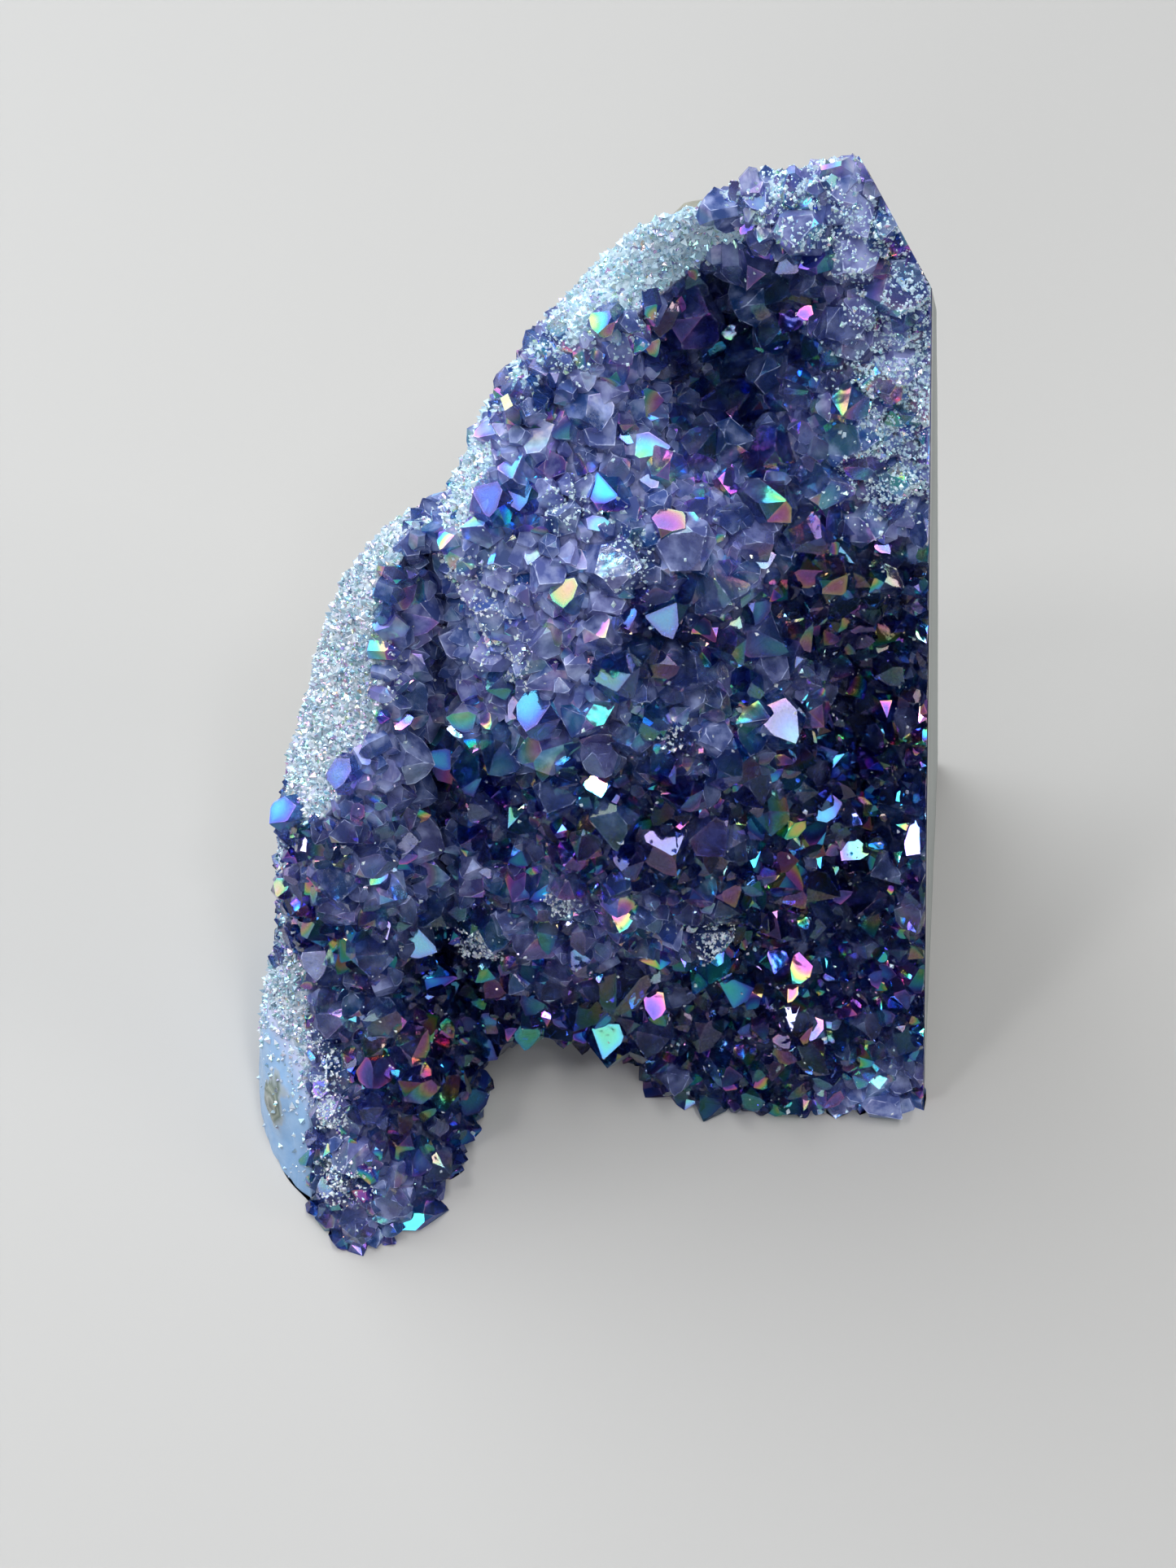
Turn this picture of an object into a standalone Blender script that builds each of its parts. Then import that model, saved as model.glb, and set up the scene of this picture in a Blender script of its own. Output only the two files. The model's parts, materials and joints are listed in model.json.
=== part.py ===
"""Aura amethyst cluster: a sawn piece of geode wall on its cut base, its crystals facing forward.

The cluster grew as one piece, so it is one solid: quartz crystals fused to the stone wall they grow from.
Frame: origin at the centre of the base, +X to the right of the crystal face, +Y to the back, +Z up, metres.
The wall leans back, so its shape is given in its own slab frame, in millimetres:
across (to the right), rise (up along the wall) and out (towards the front, square to the wall).
"""

import math
import random

import bmesh
import bpy
import numpy as np
from mathutils import Matrix, Vector
from mathutils.geometry import delaunay_2d_cdt

NAME = "amethyst_cluster"
MM = 0.001
SEED = 11

# Driving dimensions, in millimetres and degrees
LEAN = 22.0  # how far the wall leans back from upright
SLAB_ORIGIN = (-2.4, -15.45, 0.0)  # where the slab frame starts, on the table under the front
WALL_FOOT, WALL_HEAD = 43.0, 5.0  # thickness of the wall at its foot and at its head
HEAD_RISE = 97.0  # rise of the head of the wall
RIM_DROP = 5.0  # how far behind the slab plane the wall is widest
RIM_SWELL = 0.24  # how far the ground rim bulges, as a share of its width
SIDE_TAPER, TOP_TAPER = 0.10, 0.55  # how fast the wall narrows to its back, at its sides and its top
MIDDLE_TAPER = 0.45  # share of that narrowing which is done halfway back
BACK_CORNER = 1.5  # how much further in the back's edge lies, which rounds its corner
BACK_BULGE, BACK_REACH = 5.0, 45.0  # how far the middle of the back swells, and over which radius
RIND_ROUGHNESS = 1.0  # height of the lumps on the natural back
FACE_SET_BACK = -1.0  # where the bare face lies, so that the crystals' tips reach the slab plane
PITCH = 2.75  # distance between neighbouring small crystals
BACK_PITCH = 9.0  # distance between the facet corners on the back
SMALL_TIP = (0.5, 1.7)  # height of a small crystal's tip over the surface, least and most
SMALL_VALLEY = (0.5, 1.0)  # depth of the valleys between small crystals
TIP_SHIFT = 0.5  # most that a small crystal's tip stands off its middle
LARGE_COUNT = 74
LARGE_RADIUS = (1.6, 3.0)  # corner radius of the larger crystals
LARGE_REACH = (0.4, 1.8)  # how far a larger crystal's shoulder stands over the surface
LARGE_ROOT = 1.2  # how deep it is rooted, as a share of its radius
LARGE_TIP_SHIFT = 0.3  # most that its tip stands off its axis, as a share of its radius
LARGE_SPACING = 4.8
LARGE_LOWEST = 1.0  # lowest rise at which one stands
TILT = 24.0  # most that a crystal leans from square to the surface
QUARTZ_TIP_SLOPE = 52.0  # slope of the six faces of a quartz point

# How far the points of each lattice are shaken, and how clear of its edge they stay, as shares of its pitch
SMALL_SHAKE, SMALL_CLEAR = 0.2, 0.62
LARGE_SHAKE, LARGE_CLEAR = 0.5, 0.5
BACK_SHAKE, BACK_CLEAR = 0.15, 0.5

CURVE_STEPS = 24  # steps of the outline's curve between two of its given points
NORMAL_STEP = 0.8  # half the span over which the slope of the crystal face is read
SAW_BLOCK_SIDE = 200.0

# Saw cuts: a point on each cut in the slab's table frame, and its outward normal
BASE_CUT = ((0.0, 0.0, 0.0), (0.0, 0.0, -1.0))
RIGHT_CUT = ((33.7, 6.3, 0.0), (0.986, -0.110, 0.128))
CHAMFER_CUT = ((21.2, 35.8, 88.7), (0.854, 0.315, 0.412))

# The widest line of the wall (across, rise, width of the ground rim inside it), clockwise from the peak.
# The right side and the foot run past the saw cuts.
OUTLINE = (
    (20.8, 96.2, 1.0), (28.0, 94.0, 1.0), (38.0, 80.0, 1.0), (41.0, 40.0, 1.0), (42.0, 0.0, 1.0),
    (38.0, -18.0, 1.0), (10.0, -20.0, 1.0), (-10.0, -22.0, 1.0), (-23.0, -23.0, 2.0), (-30.5, -15.0, 5.0),
    (-32.8, -5.9, 6.5), (-32.6, 2.0, 6.5), (-31.5, 10.7, 5.5), (-29.3, 19.0, 3.0), (-28.9, 25.0, 1.5),
    (-28.0, 31.8, 1.5), (-27.0, 38.3, 3.5), (-25.3, 44.0, 6.0), (-23.6, 50.0, 6.0), (-21.6, 56.0, 5.0),
    (-18.5, 61.3, 2.5), (-15.1, 64.4, 1.0), (-12.2, 65.6, 1.5), (-10.6, 69.0, 3.5), (-8.2, 74.2, 3.5),
    (-5.4, 79.1, 2.0), (-2.6, 83.0, 2.5), (1.7, 88.3, 5.0), (4.8, 91.0, 6.0), (8.5, 92.4, 5.0),
    (12.9, 94.8, 2.5), (17.1, 95.8, 1.0),
)

# Lumps and hollows of the crystal face: across, rise, half width, half height, turn in degrees, how far out
FORMS = {
    "dome": (3.5, 40.0, 18.0, 36.0, -3.0, 7.5),
    "dome shoulder": (-3.0, 62.0, 11.0, 13.0, 25.0, 3.0),
    "brow under the vug": (12.0, 64.0, 12.0, 9.0, -10.0, 3.0),
    "left ridge": (-20.5, 36.0, 8.5, 33.0, 6.0, 6.0),
    "left lobe": (-17.5, 57.0, 6.0, 10.0, 20.0, 2.0),
    "left foot": (-21.0, -8.0, 13.0, 28.0, 0.0, 13.8),
    "right foot": (21.0, 10.0, 13.0, 16.0, 0.0, 2.5),
    "vug": (10.5, 80.0, 9.5, 13.0, -12.0, -9.0),
    "right valley": (24.0, 38.0, 7.0, 28.0, 0.0, -5.0),
    "arch": (-2.0, -2.0, 11.0, 13.0, 0.0, -11.0),
}

# The swelling of the natural back behind the vug, given in the same way
BACK_FORM = (10.5, 78.0, 17.0, 20.0, 0.0, 5.0)

# The groove between the left ridge and the dome (across, rise), its half width and depth
GROOVE = ((-12.3, 61.0), (-14.0, 46.0), (-14.2, 36.0), (-15.5, 22.0), (-11.5, 11.0), (-9.0, 2.0))
GROOVE_WIDTH, GROOVE_DEPTH = 3.8, 7.5

# Knobs, where the crystals stand in clumps: how many, where, half width, height to width, and how far out
KNOBS, KNOB_ACROSS, KNOB_RISE = 22, (-28.0, 30.0), (0.0, 92.0)
KNOB_SIZE, KNOB_STRETCH, KNOB_OUT = (4.5, 8.0), (0.8, 1.3), (0.6, 2.0)

# Larger crystals set by hand: across, rise, corner radius, reach, lean to the right and up in degrees
SET_CRYSTALS = (
    (7.1, 82.0, 3.4, 1.5, -15.0, -10.0), (14.5, 80.5, 3.2, 1.0, 10.0, -15.0),
    (-5.2, 67.0, 3.6, 1.4, -12.0, 10.0), (9.8, 74.0, 3.0, 1.0, 0.0, -10.0),
    (4.4, 74.5, 3.0, 1.5, -10.0, 0.0), (13.5, 69.5, 3.2, 1.6, 5.0, 10.0),
    (-25.0, 38.0, 2.3, 1.2, -35.0, 0.0), (-26.0, 30.5, 2.3, 1.4, -30.0, -5.0),
    (-15.0, 60.5, 2.2, 1.2, -10.0, 25.0), (-24.0, 6.5, 2.6, 1.2, -15.0, 0.0),
    (19.0, 91.5, 2.6, 0.8, 5.0, 15.0), (13.0, 90.5, 2.8, 1.0, -5.0, 15.0),
    (-16.8, 11.5, 3.0, 1.0, 15.0, -10.0), (-3.8, 51.0, 3.0, 1.2, 5.0, 10.0),
    (-8.5, 43.5, 2.8, 1.2, -15.0, 5.0),
)


def smoothed(points, spacing):
    """A closed Catmull-Rom curve through the points, read every spacing along its length."""
    points = np.array(points, float)
    before, after, beyond = np.roll(points, 1, 0), np.roll(points, -1, 0), np.roll(points, -2, 0)
    linear = after - before
    square = 2 * before - 5 * points + 4 * after - beyond
    cube = 3 * points - before - 3 * after + beyond
    shares = np.linspace(0.0, 1.0, CURVE_STEPS, endpoint=False)
    fine = np.stack([points + 0.5 * (linear * t + square * t**2 + cube * t**3) for t in shares], 1)
    fine = fine.reshape(-1, points.shape[1])
    steps = np.linalg.norm(np.diff(fine[:, :2], axis=0, append=fine[:1, :2]), axis=1)
    travelled = np.concatenate([[0.0], np.cumsum(steps)])
    count = round(travelled[-1] / spacing)
    wanted = np.arange(count) * travelled[-1] / count
    closed = np.vstack([fine, fine[:1]])
    return np.stack([np.interp(wanted, travelled, closed[:, k]) for k in range(points.shape[1])], 1)


def inset(ring, width):
    """The ring moved inwards by the width, which may differ from point to point."""
    along = np.roll(ring, -1, 0) - np.roll(ring, 1, 0)
    along /= np.linalg.norm(along, axis=1, keepdims=True)
    inward = np.stack([along[:, 1], -along[:, 0]], 1)
    return ring + inward * np.reshape(width, (-1, 1))


def path_distance(across, rise, path):
    """Distance from each place to a path of straight runs."""
    best = np.full(np.shape(across), np.inf)
    for (ax, ay), (bx, by) in zip(path, path[1:]):
        length2 = (bx - ax) ** 2 + (by - ay) ** 2
        t = np.clip(((across - ax) * (bx - ax) + (rise - ay) * (by - ay)) / length2, 0.0, 1.0)
        best = np.minimum(best, np.hypot(across - ax - t * (bx - ax), rise - ay - t * (by - ay)))
    return best


def lump(across, rise, centre_across, centre_rise, half_width, half_height, turn, height):
    """A smooth lump with an elliptical foot, or a hollow where its height is negative."""
    c, s = math.cos(math.radians(turn)), math.sin(math.radians(turn))
    x, y = across - centre_across, rise - centre_rise
    q = ((x * c + y * s) / half_width) ** 2 + ((y * c - x * s) / half_height) ** 2
    return height * np.clip(1.0 - q, 0.0, None) ** 1.5


def knobs():
    """The scattered clumps, as forms."""
    rng = random.Random(SEED)
    for _ in range(KNOBS):
        size = rng.uniform(*KNOB_SIZE)
        across, rise = rng.uniform(*KNOB_ACROSS), rng.uniform(*KNOB_RISE)
        yield across, rise, size, size * rng.uniform(*KNOB_STRETCH), 0.0, rng.uniform(*KNOB_OUT)


LUMPS = (*FORMS.values(), *knobs())


def face_out(across, rise):
    """How far the crystal face stands out from the slab plane: its lumps and hollows, less the groove."""
    across, rise = np.asarray(across, float), np.asarray(rise, float)
    out = FACE_SET_BACK + sum(lump(across, rise, *form) for form in LUMPS)
    groove = np.clip(1.0 - (path_distance(across, rise, GROOVE) / GROOVE_WIDTH) ** 2, 0.0, None)
    return out - GROOVE_DEPTH * groove**1.5


def face_normal(across, rise):
    """Unit normal of the crystal face in the slab frame."""
    step = NORMAL_STEP
    slope_across = (face_out(across + step, rise) - face_out(across - step, rise)) / (2 * step)
    slope_up = (face_out(across, rise + step) - face_out(across, rise - step)) / (2 * step)
    normal = np.stack([-slope_across, -slope_up, np.ones(np.shape(across))], -1)
    return normal / np.linalg.norm(normal, axis=-1, keepdims=True)


def wall_depth(rise):
    """Thickness of the wall behind the slab plane, without the swelling of its back."""
    share = np.clip(np.asarray(rise, float) / HEAD_RISE, 0.0, 1.0)
    return WALL_FOOT + (WALL_HEAD - WALL_FOOT) * share


def slab_matrix():
    """Carries slab coordinates in millimetres to the part's frame in metres."""
    lean = math.radians(LEAN)
    turn = Matrix(((1, 0, 0), (0, math.sin(lean), -math.cos(lean)), (0, math.cos(lean), math.sin(lean))))
    return Matrix.Translation(Vector(SLAB_ORIGIN) * MM) @ turn.to_4x4() @ Matrix.Scale(MM, 4)


def lattice(edge, pitch, shake, clear, rng):
    """Points of a hexagonal lattice, shaken a little, that lie inside the closed edge and clear of it."""
    low, high = edge.min(0), edge.max(0)
    rows = np.arange(low[1], high[1], pitch * math.sqrt(0.75))
    columns = np.arange(low[0], high[0], pitch)
    points = np.array([(a + pitch / 2 * (k % 2), r) for k, r in enumerate(rows) for a in columns])
    points += rng.uniform(-shake, shake, points.shape) * pitch
    following = np.roll(edge, -1, 0)
    x, y = points[:, :1], points[:, 1:]
    spans = (edge[:, 1] > y) != (following[:, 1] > y)
    rise = np.where(following[:, 1] == edge[:, 1], 1.0, following[:, 1] - edge[:, 1])
    crossing = edge[:, 0] + (y - edge[:, 1]) * (following[:, 0] - edge[:, 0]) / rise
    inside = (spans & (x < crossing)).sum(1) % 2 == 1
    far = np.linalg.norm(points[:, None] - edge[None], axis=2).min(1) > clear * pitch
    return points[inside & far]


def sheet(edge, inner):
    """Triangles over a closed edge and the points inside it. The edge's points come first."""
    places = [Vector(p) for p in np.vstack([edge, inner])]
    ring = [(k, (k + 1) % len(edge)) for k in range(len(edge))]
    faces = delaunay_2d_cdt(places, ring, [], 1, 1e-6)[2]
    return np.vstack([edge, inner]), faces


def add_sheet(bm, places, out, faces, outward):
    """Puts a sheet into the mesh, facing out or to the back, and returns its vertices and faces."""
    verts = [bm.verts.new((a, r, n)) for (a, r), n in zip(places, out)]
    made = []
    for face in faces:
        order = face if outward else reversed(face)
        made.append(bm.faces.new([verts[k] for k in order]))
    bm.faces.index_update()
    return verts, made


def grow_small_crystals(bm, face_verts, faces, edge_count, rng):
    """Turns a triangle sheet into six-sided points: tips at its corners, valleys in its triangles."""
    inner = [e for e in bm.edges if len(e.link_faces) == 2 and all(f in faces for f in e.link_faces)]
    centres = bmesh.ops.poke(bm, faces=sorted(faces, key=lambda f: f.index))["verts"]
    bmesh.ops.rotate_edges(bm, edges=inner, use_ccw=False)
    for vert in centres:
        vert.co -= Vector(face_normal(vert.co.x, vert.co.y)) * rng.uniform(*SMALL_VALLEY)
    for vert in face_verts[edge_count:]:
        height = rng.uniform(*SMALL_TIP)
        shift = Vector((rng.uniform(-TIP_SHIFT, TIP_SHIFT), rng.uniform(-TIP_SHIFT, TIP_SHIFT), 0.0))
        vert.co += Vector(face_normal(vert.co.x, vert.co.y)) * height + shift


def wall_mesh():
    """The wall as one closed mesh: small crystals in front, ground rim, sides and natural back."""
    rng = np.random.default_rng(SEED)
    outline = smoothed(OUTLINE, PITCH)
    widest, rim_width = outline[:, :2], outline[:, 2]
    edge = inset(widest, rim_width)
    depth = wall_depth(widest[:, 1])
    drop = np.minimum(RIM_DROP, 0.5 * depth)
    upwards = np.clip(-(inset(widest, 1.0) - widest)[:, 1], 0.0, 1.0)
    taper = (SIDE_TAPER + TOP_TAPER * upwards) * (depth - drop)
    middle_ring, back_edge = inset(widest, taper * MIDDLE_TAPER), inset(widest, taper + BACK_CORNER)

    bm = bmesh.new()
    places, triangles = sheet(edge, lattice(edge, PITCH, SMALL_SHAKE, SMALL_CLEAR, rng))
    front, front_faces = add_sheet(bm, places, face_out(*places.T), triangles, True)
    back_inner = lattice(back_edge, BACK_PITCH, BACK_SHAKE, BACK_CLEAR, rng)
    places, triangles = sheet(back_edge, back_inner)
    middle = places.mean(0)
    swell = lump(*places.T, *middle, BACK_REACH, BACK_REACH, 0.0, BACK_BULGE) + lump(*places.T, *BACK_FORM)
    lumps = rng.uniform(-RIND_ROUGHNESS, RIND_ROUGHNESS, len(places)) - swell
    back, _ = add_sheet(bm, places, lumps - wall_depth(places[:, 1]), triangles, False)

    middle_ring += rng.uniform(-0.5, 0.5, middle_ring.shape) * RIND_ROUGHNESS
    rim_ring = inset(widest, rim_width * (0.5 - RIM_SWELL))
    rim_behind = (drop - face_out(*edge.T)) / 2 - RIM_SWELL * rim_width
    rings = [front[: len(edge)]]
    for ring, behind in ((rim_ring, rim_behind), (widest, drop), (middle_ring, (drop + depth) / 2)):
        rings.append([bm.verts.new((*p, -n)) for p, n in zip(ring, behind)])
    rings.append(back[: len(edge)])
    for near, far in zip(rings, rings[1:]):
        for k in range(len(edge)):
            j = (k + 1) % len(edge)
            bm.faces.new((near[k], near[j], far[j], far[k]))
    grow_small_crystals(bm, front, set(front_faces), len(edge), rng)
    bmesh.ops.recalc_face_normals(bm, faces=bm.faces)
    return bm


def large_crystal_places(rng):
    """The larger crystals: those set by hand, then others scattered over the face."""
    chosen = list(SET_CRYSTALS)
    outline = smoothed(OUTLINE, PITCH)
    edge = inset(outline[:, :2], outline[:, 2])
    spots = lattice(edge, PITCH, LARGE_SHAKE, LARGE_CLEAR, np.random.default_rng(SEED + 1))
    order = list(range(len(spots)))
    rng.shuffle(order)
    for k in order:
        across, rise = spots[k]
        near = min(math.hypot(across - c[0], rise - c[1]) for c in chosen)
        if len(chosen) < LARGE_COUNT + len(SET_CRYSTALS) and near > LARGE_SPACING and rise > LARGE_LOWEST:
            size, reach = rng.uniform(*LARGE_RADIUS), rng.uniform(*LARGE_REACH)
            chosen.append((across, rise, size, reach, rng.uniform(-TILT, TILT), rng.uniform(-TILT, TILT)))
    return chosen


def add_crystal(bm, across, rise, radius, reach, lean_right, lean_up, rng):
    """One hexagonal crystal with a six-sided point, its tip off its axis so that its faces differ."""
    root = LARGE_ROOT * radius
    shift = LARGE_TIP_SHIFT * radius
    point = math.tan(math.radians(QUARTZ_TIP_SLOPE)) * math.cos(math.pi / 6) * radius
    start = len(bm.verts)
    bmesh.ops.create_cone(bm, cap_ends=True, segments=6, radius1=radius, radius2=radius, depth=root + reach)
    bm.verts.ensure_lookup_table()
    verts = bm.verts[start:]
    top = next(f for f in bm.faces if all(v in verts for v in f.verts) and f.normal.z > 0.9)
    tip = bmesh.ops.poke(bm, faces=[top])["verts"][0]
    tip.co += Vector((rng.uniform(-shift, shift), rng.uniform(-shift, shift), point))
    spin = Matrix.Rotation(rng.uniform(0, math.pi / 3), 4, "Z")
    upright = Matrix.Translation((0, 0, (reach - root) / 2)) @ spin
    normal = Vector(face_normal(across, rise))
    turn = normal.to_track_quat("Z", "Y").to_matrix().to_4x4()
    lean = Matrix.Rotation(math.radians(lean_right), 4, "Y") @ Matrix.Rotation(math.radians(-lean_up), 4, "X")
    place = Matrix.Translation((across, rise, float(face_out(across, rise)))) @ lean @ turn @ upright
    bmesh.ops.transform(bm, matrix=place, verts=[*verts, tip])


def large_crystal_mesh():
    """The larger crystals as one mesh of overlapping closed bodies."""
    rng = random.Random(SEED)
    bm = bmesh.new()
    for across, rise, radius, reach, lean_right, lean_up in large_crystal_places(rng):
        add_crystal(bm, across, rise, radius, reach, lean_right, lean_up, rng)
    return bm


def saw_block(point, normal):
    """A block that fills the waste side of a saw cut."""
    side = SAW_BLOCK_SIDE * MM
    bm = bmesh.new()
    bmesh.ops.create_cube(bm, size=side, matrix=Matrix.Translation((0, 0, side / 2)))
    turn = Vector(normal).to_track_quat("Z", "Y").to_matrix().to_4x4()
    place = Matrix.Translation((Vector(point) + Vector(SLAB_ORIGIN)) * MM) @ turn
    bmesh.ops.transform(bm, matrix=place, verts=bm.verts)
    return bm


def add_object(name, bm, collection):
    """Makes an object from the mesh and frees the mesh's working copy."""
    mesh = bpy.data.meshes.new(name)
    bm.to_mesh(mesh)
    bm.free()
    obj = bpy.data.objects.new(name, mesh)
    collection.objects.link(obj)
    return obj


def new_collection(name):
    """A collection in the scene."""
    collection = bpy.data.collections.new(name)
    bpy.context.scene.collection.children.link(collection)
    return collection


def amethyst():
    """Dusky violet quartz with a glassy surface."""
    material = bpy.data.materials.new("amethyst")
    material.use_nodes = True
    shader = material.node_tree.nodes["Principled BSDF"]
    shader.inputs["Base Color"].default_value = (0.16, 0.14, 0.30, 1.0)
    shader.inputs["Roughness"].default_value = 0.18
    shader.inputs["Metallic"].default_value = 0.0
    return material


def add_boolean(target, tool, operation):
    """Joins or cuts the target with the tool, which is kept as a hidden guide."""
    modifier = target.modifiers.new(tool.name, "BOOLEAN")
    modifier.operation = operation
    modifier.solver = "EXACT"
    modifier.use_self = operation == "UNION"
    modifier.object = tool
    tool.hide_render = True
    tool.display_type = "WIRE"


def finish_booleans(obj):
    """Makes the joins and cuts part of the mesh, and drops any crumb that a saw cut left loose."""
    bpy.context.view_layer.update()
    evaluated = obj.evaluated_get(bpy.context.evaluated_depsgraph_get())
    solid = bpy.data.meshes.new_from_object(evaluated)
    obj.modifiers.clear()
    bm = bmesh.new()
    bm.from_mesh(solid)
    unseen = set(bm.verts)
    islands = []
    while unseen:
        island, reached = set(), [unseen.pop()]
        while reached:
            vert = reached.pop()
            island.add(vert)
            near = {e.other_vert(vert) for e in vert.link_edges} & unseen
            unseen -= near
            reached.extend(near)
        islands.append(island)
    main_island = max(islands, key=len)
    bmesh.ops.delete(bm, geom=[v for v in bm.verts if v not in main_island], context="VERTS")
    bm.to_mesh(obj.data)
    bm.free()
    bpy.data.meshes.remove(solid)


def main():
    for obj in list(bpy.data.objects):
        bpy.data.objects.remove(obj)
    parts = new_collection(NAME)
    tools = new_collection("cutters")
    wall, crystals = wall_mesh(), large_crystal_mesh()
    for bm in (wall, crystals):
        bmesh.ops.transform(bm, matrix=slab_matrix(), verts=bm.verts)
    cluster = add_object(NAME, wall, parts)
    cluster.data.materials.append(amethyst())
    add_boolean(cluster, add_object("larger crystals", crystals, tools), "UNION")
    for name, cut in (("base saw", BASE_CUT), ("right saw", RIGHT_CUT), ("corner saw", CHAMFER_CUT)):
        add_boolean(cluster, add_object(name, saw_block(*cut), tools), "DIFFERENCE")
    finish_booleans(cluster)


if __name__ == "__main__":
    main()
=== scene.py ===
import json
import logging
import math
import random
from collections.abc import Callable, Iterable, Sequence
from dataclasses import dataclass, field
from enum import Enum

import bpy
import numpy as np
from mathutils.kdtree import KDTree
from numpy.typing import NDArray
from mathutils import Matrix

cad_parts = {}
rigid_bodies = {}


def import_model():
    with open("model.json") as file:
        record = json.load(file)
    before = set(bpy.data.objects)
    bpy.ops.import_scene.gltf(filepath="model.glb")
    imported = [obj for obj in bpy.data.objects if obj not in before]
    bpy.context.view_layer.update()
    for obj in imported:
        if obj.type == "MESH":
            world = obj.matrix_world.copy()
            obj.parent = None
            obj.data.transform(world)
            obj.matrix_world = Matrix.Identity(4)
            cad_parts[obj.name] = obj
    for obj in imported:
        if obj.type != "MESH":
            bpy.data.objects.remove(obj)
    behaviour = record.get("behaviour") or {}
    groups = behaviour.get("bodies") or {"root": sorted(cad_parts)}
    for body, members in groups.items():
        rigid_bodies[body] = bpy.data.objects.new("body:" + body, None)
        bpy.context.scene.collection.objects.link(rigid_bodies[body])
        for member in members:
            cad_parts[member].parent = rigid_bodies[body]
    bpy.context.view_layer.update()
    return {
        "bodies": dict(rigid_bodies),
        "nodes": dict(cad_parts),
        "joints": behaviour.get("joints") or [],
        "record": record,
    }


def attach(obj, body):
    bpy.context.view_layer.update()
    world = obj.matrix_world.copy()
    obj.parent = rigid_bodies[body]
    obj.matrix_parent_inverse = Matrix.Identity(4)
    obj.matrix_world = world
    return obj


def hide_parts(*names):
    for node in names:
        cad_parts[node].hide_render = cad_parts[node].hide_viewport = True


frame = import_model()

Array = NDArray[np.float64]
Colour = tuple[float, float, float]
Stops = tuple[tuple[float, Colour], ...]
Span = tuple[float, float]
log = logging.getLogger("aura amethyst")

MM = 0.001
PART = "amethyst_cluster"
WHITE = (1.0, 1.0, 1.0)
QUARTZ_IOR = 1.544
SHARP_ANGLE = math.radians(38.0)
TINY = 1e-9


class Slot(Enum):
    """The record's material slots."""

    AMETHYST = "amethyst"
    GROUND_RIM = "ground_rim"
    GEODE_RIND = "geode_rind"


# Shape of the stone, in the slab frame in millimetres: across, rise and out


@dataclass(frozen=True)
class SlabFrame:
    """The leaning frame in which the wall is shaped."""

    lean: float = 22.0
    origin: tuple[float, float, float] = (-2.4, -15.45, 0.0)

    def axes(self) -> Array:
        """The part's directions of across, rise and out, one to a row."""
        s, c = math.sin(math.radians(self.lean)), math.cos(math.radians(self.lean))
        return np.array([[1.0, 0.0, 0.0], [0.0, s, c], [0.0, -c, s]])

    def to_part(self, places: Array) -> Array:
        """Slab places in millimetres as the part's places in metres."""
        return (places @ self.axes() + np.array(self.origin)) * MM

    def to_slab(self, direction: Sequence[float]) -> Array:
        """A direction of the part's frame as a slab direction of length one."""
        turned = self.axes() @ np.array(direction, float)
        return turned / np.linalg.norm(turned)


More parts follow.
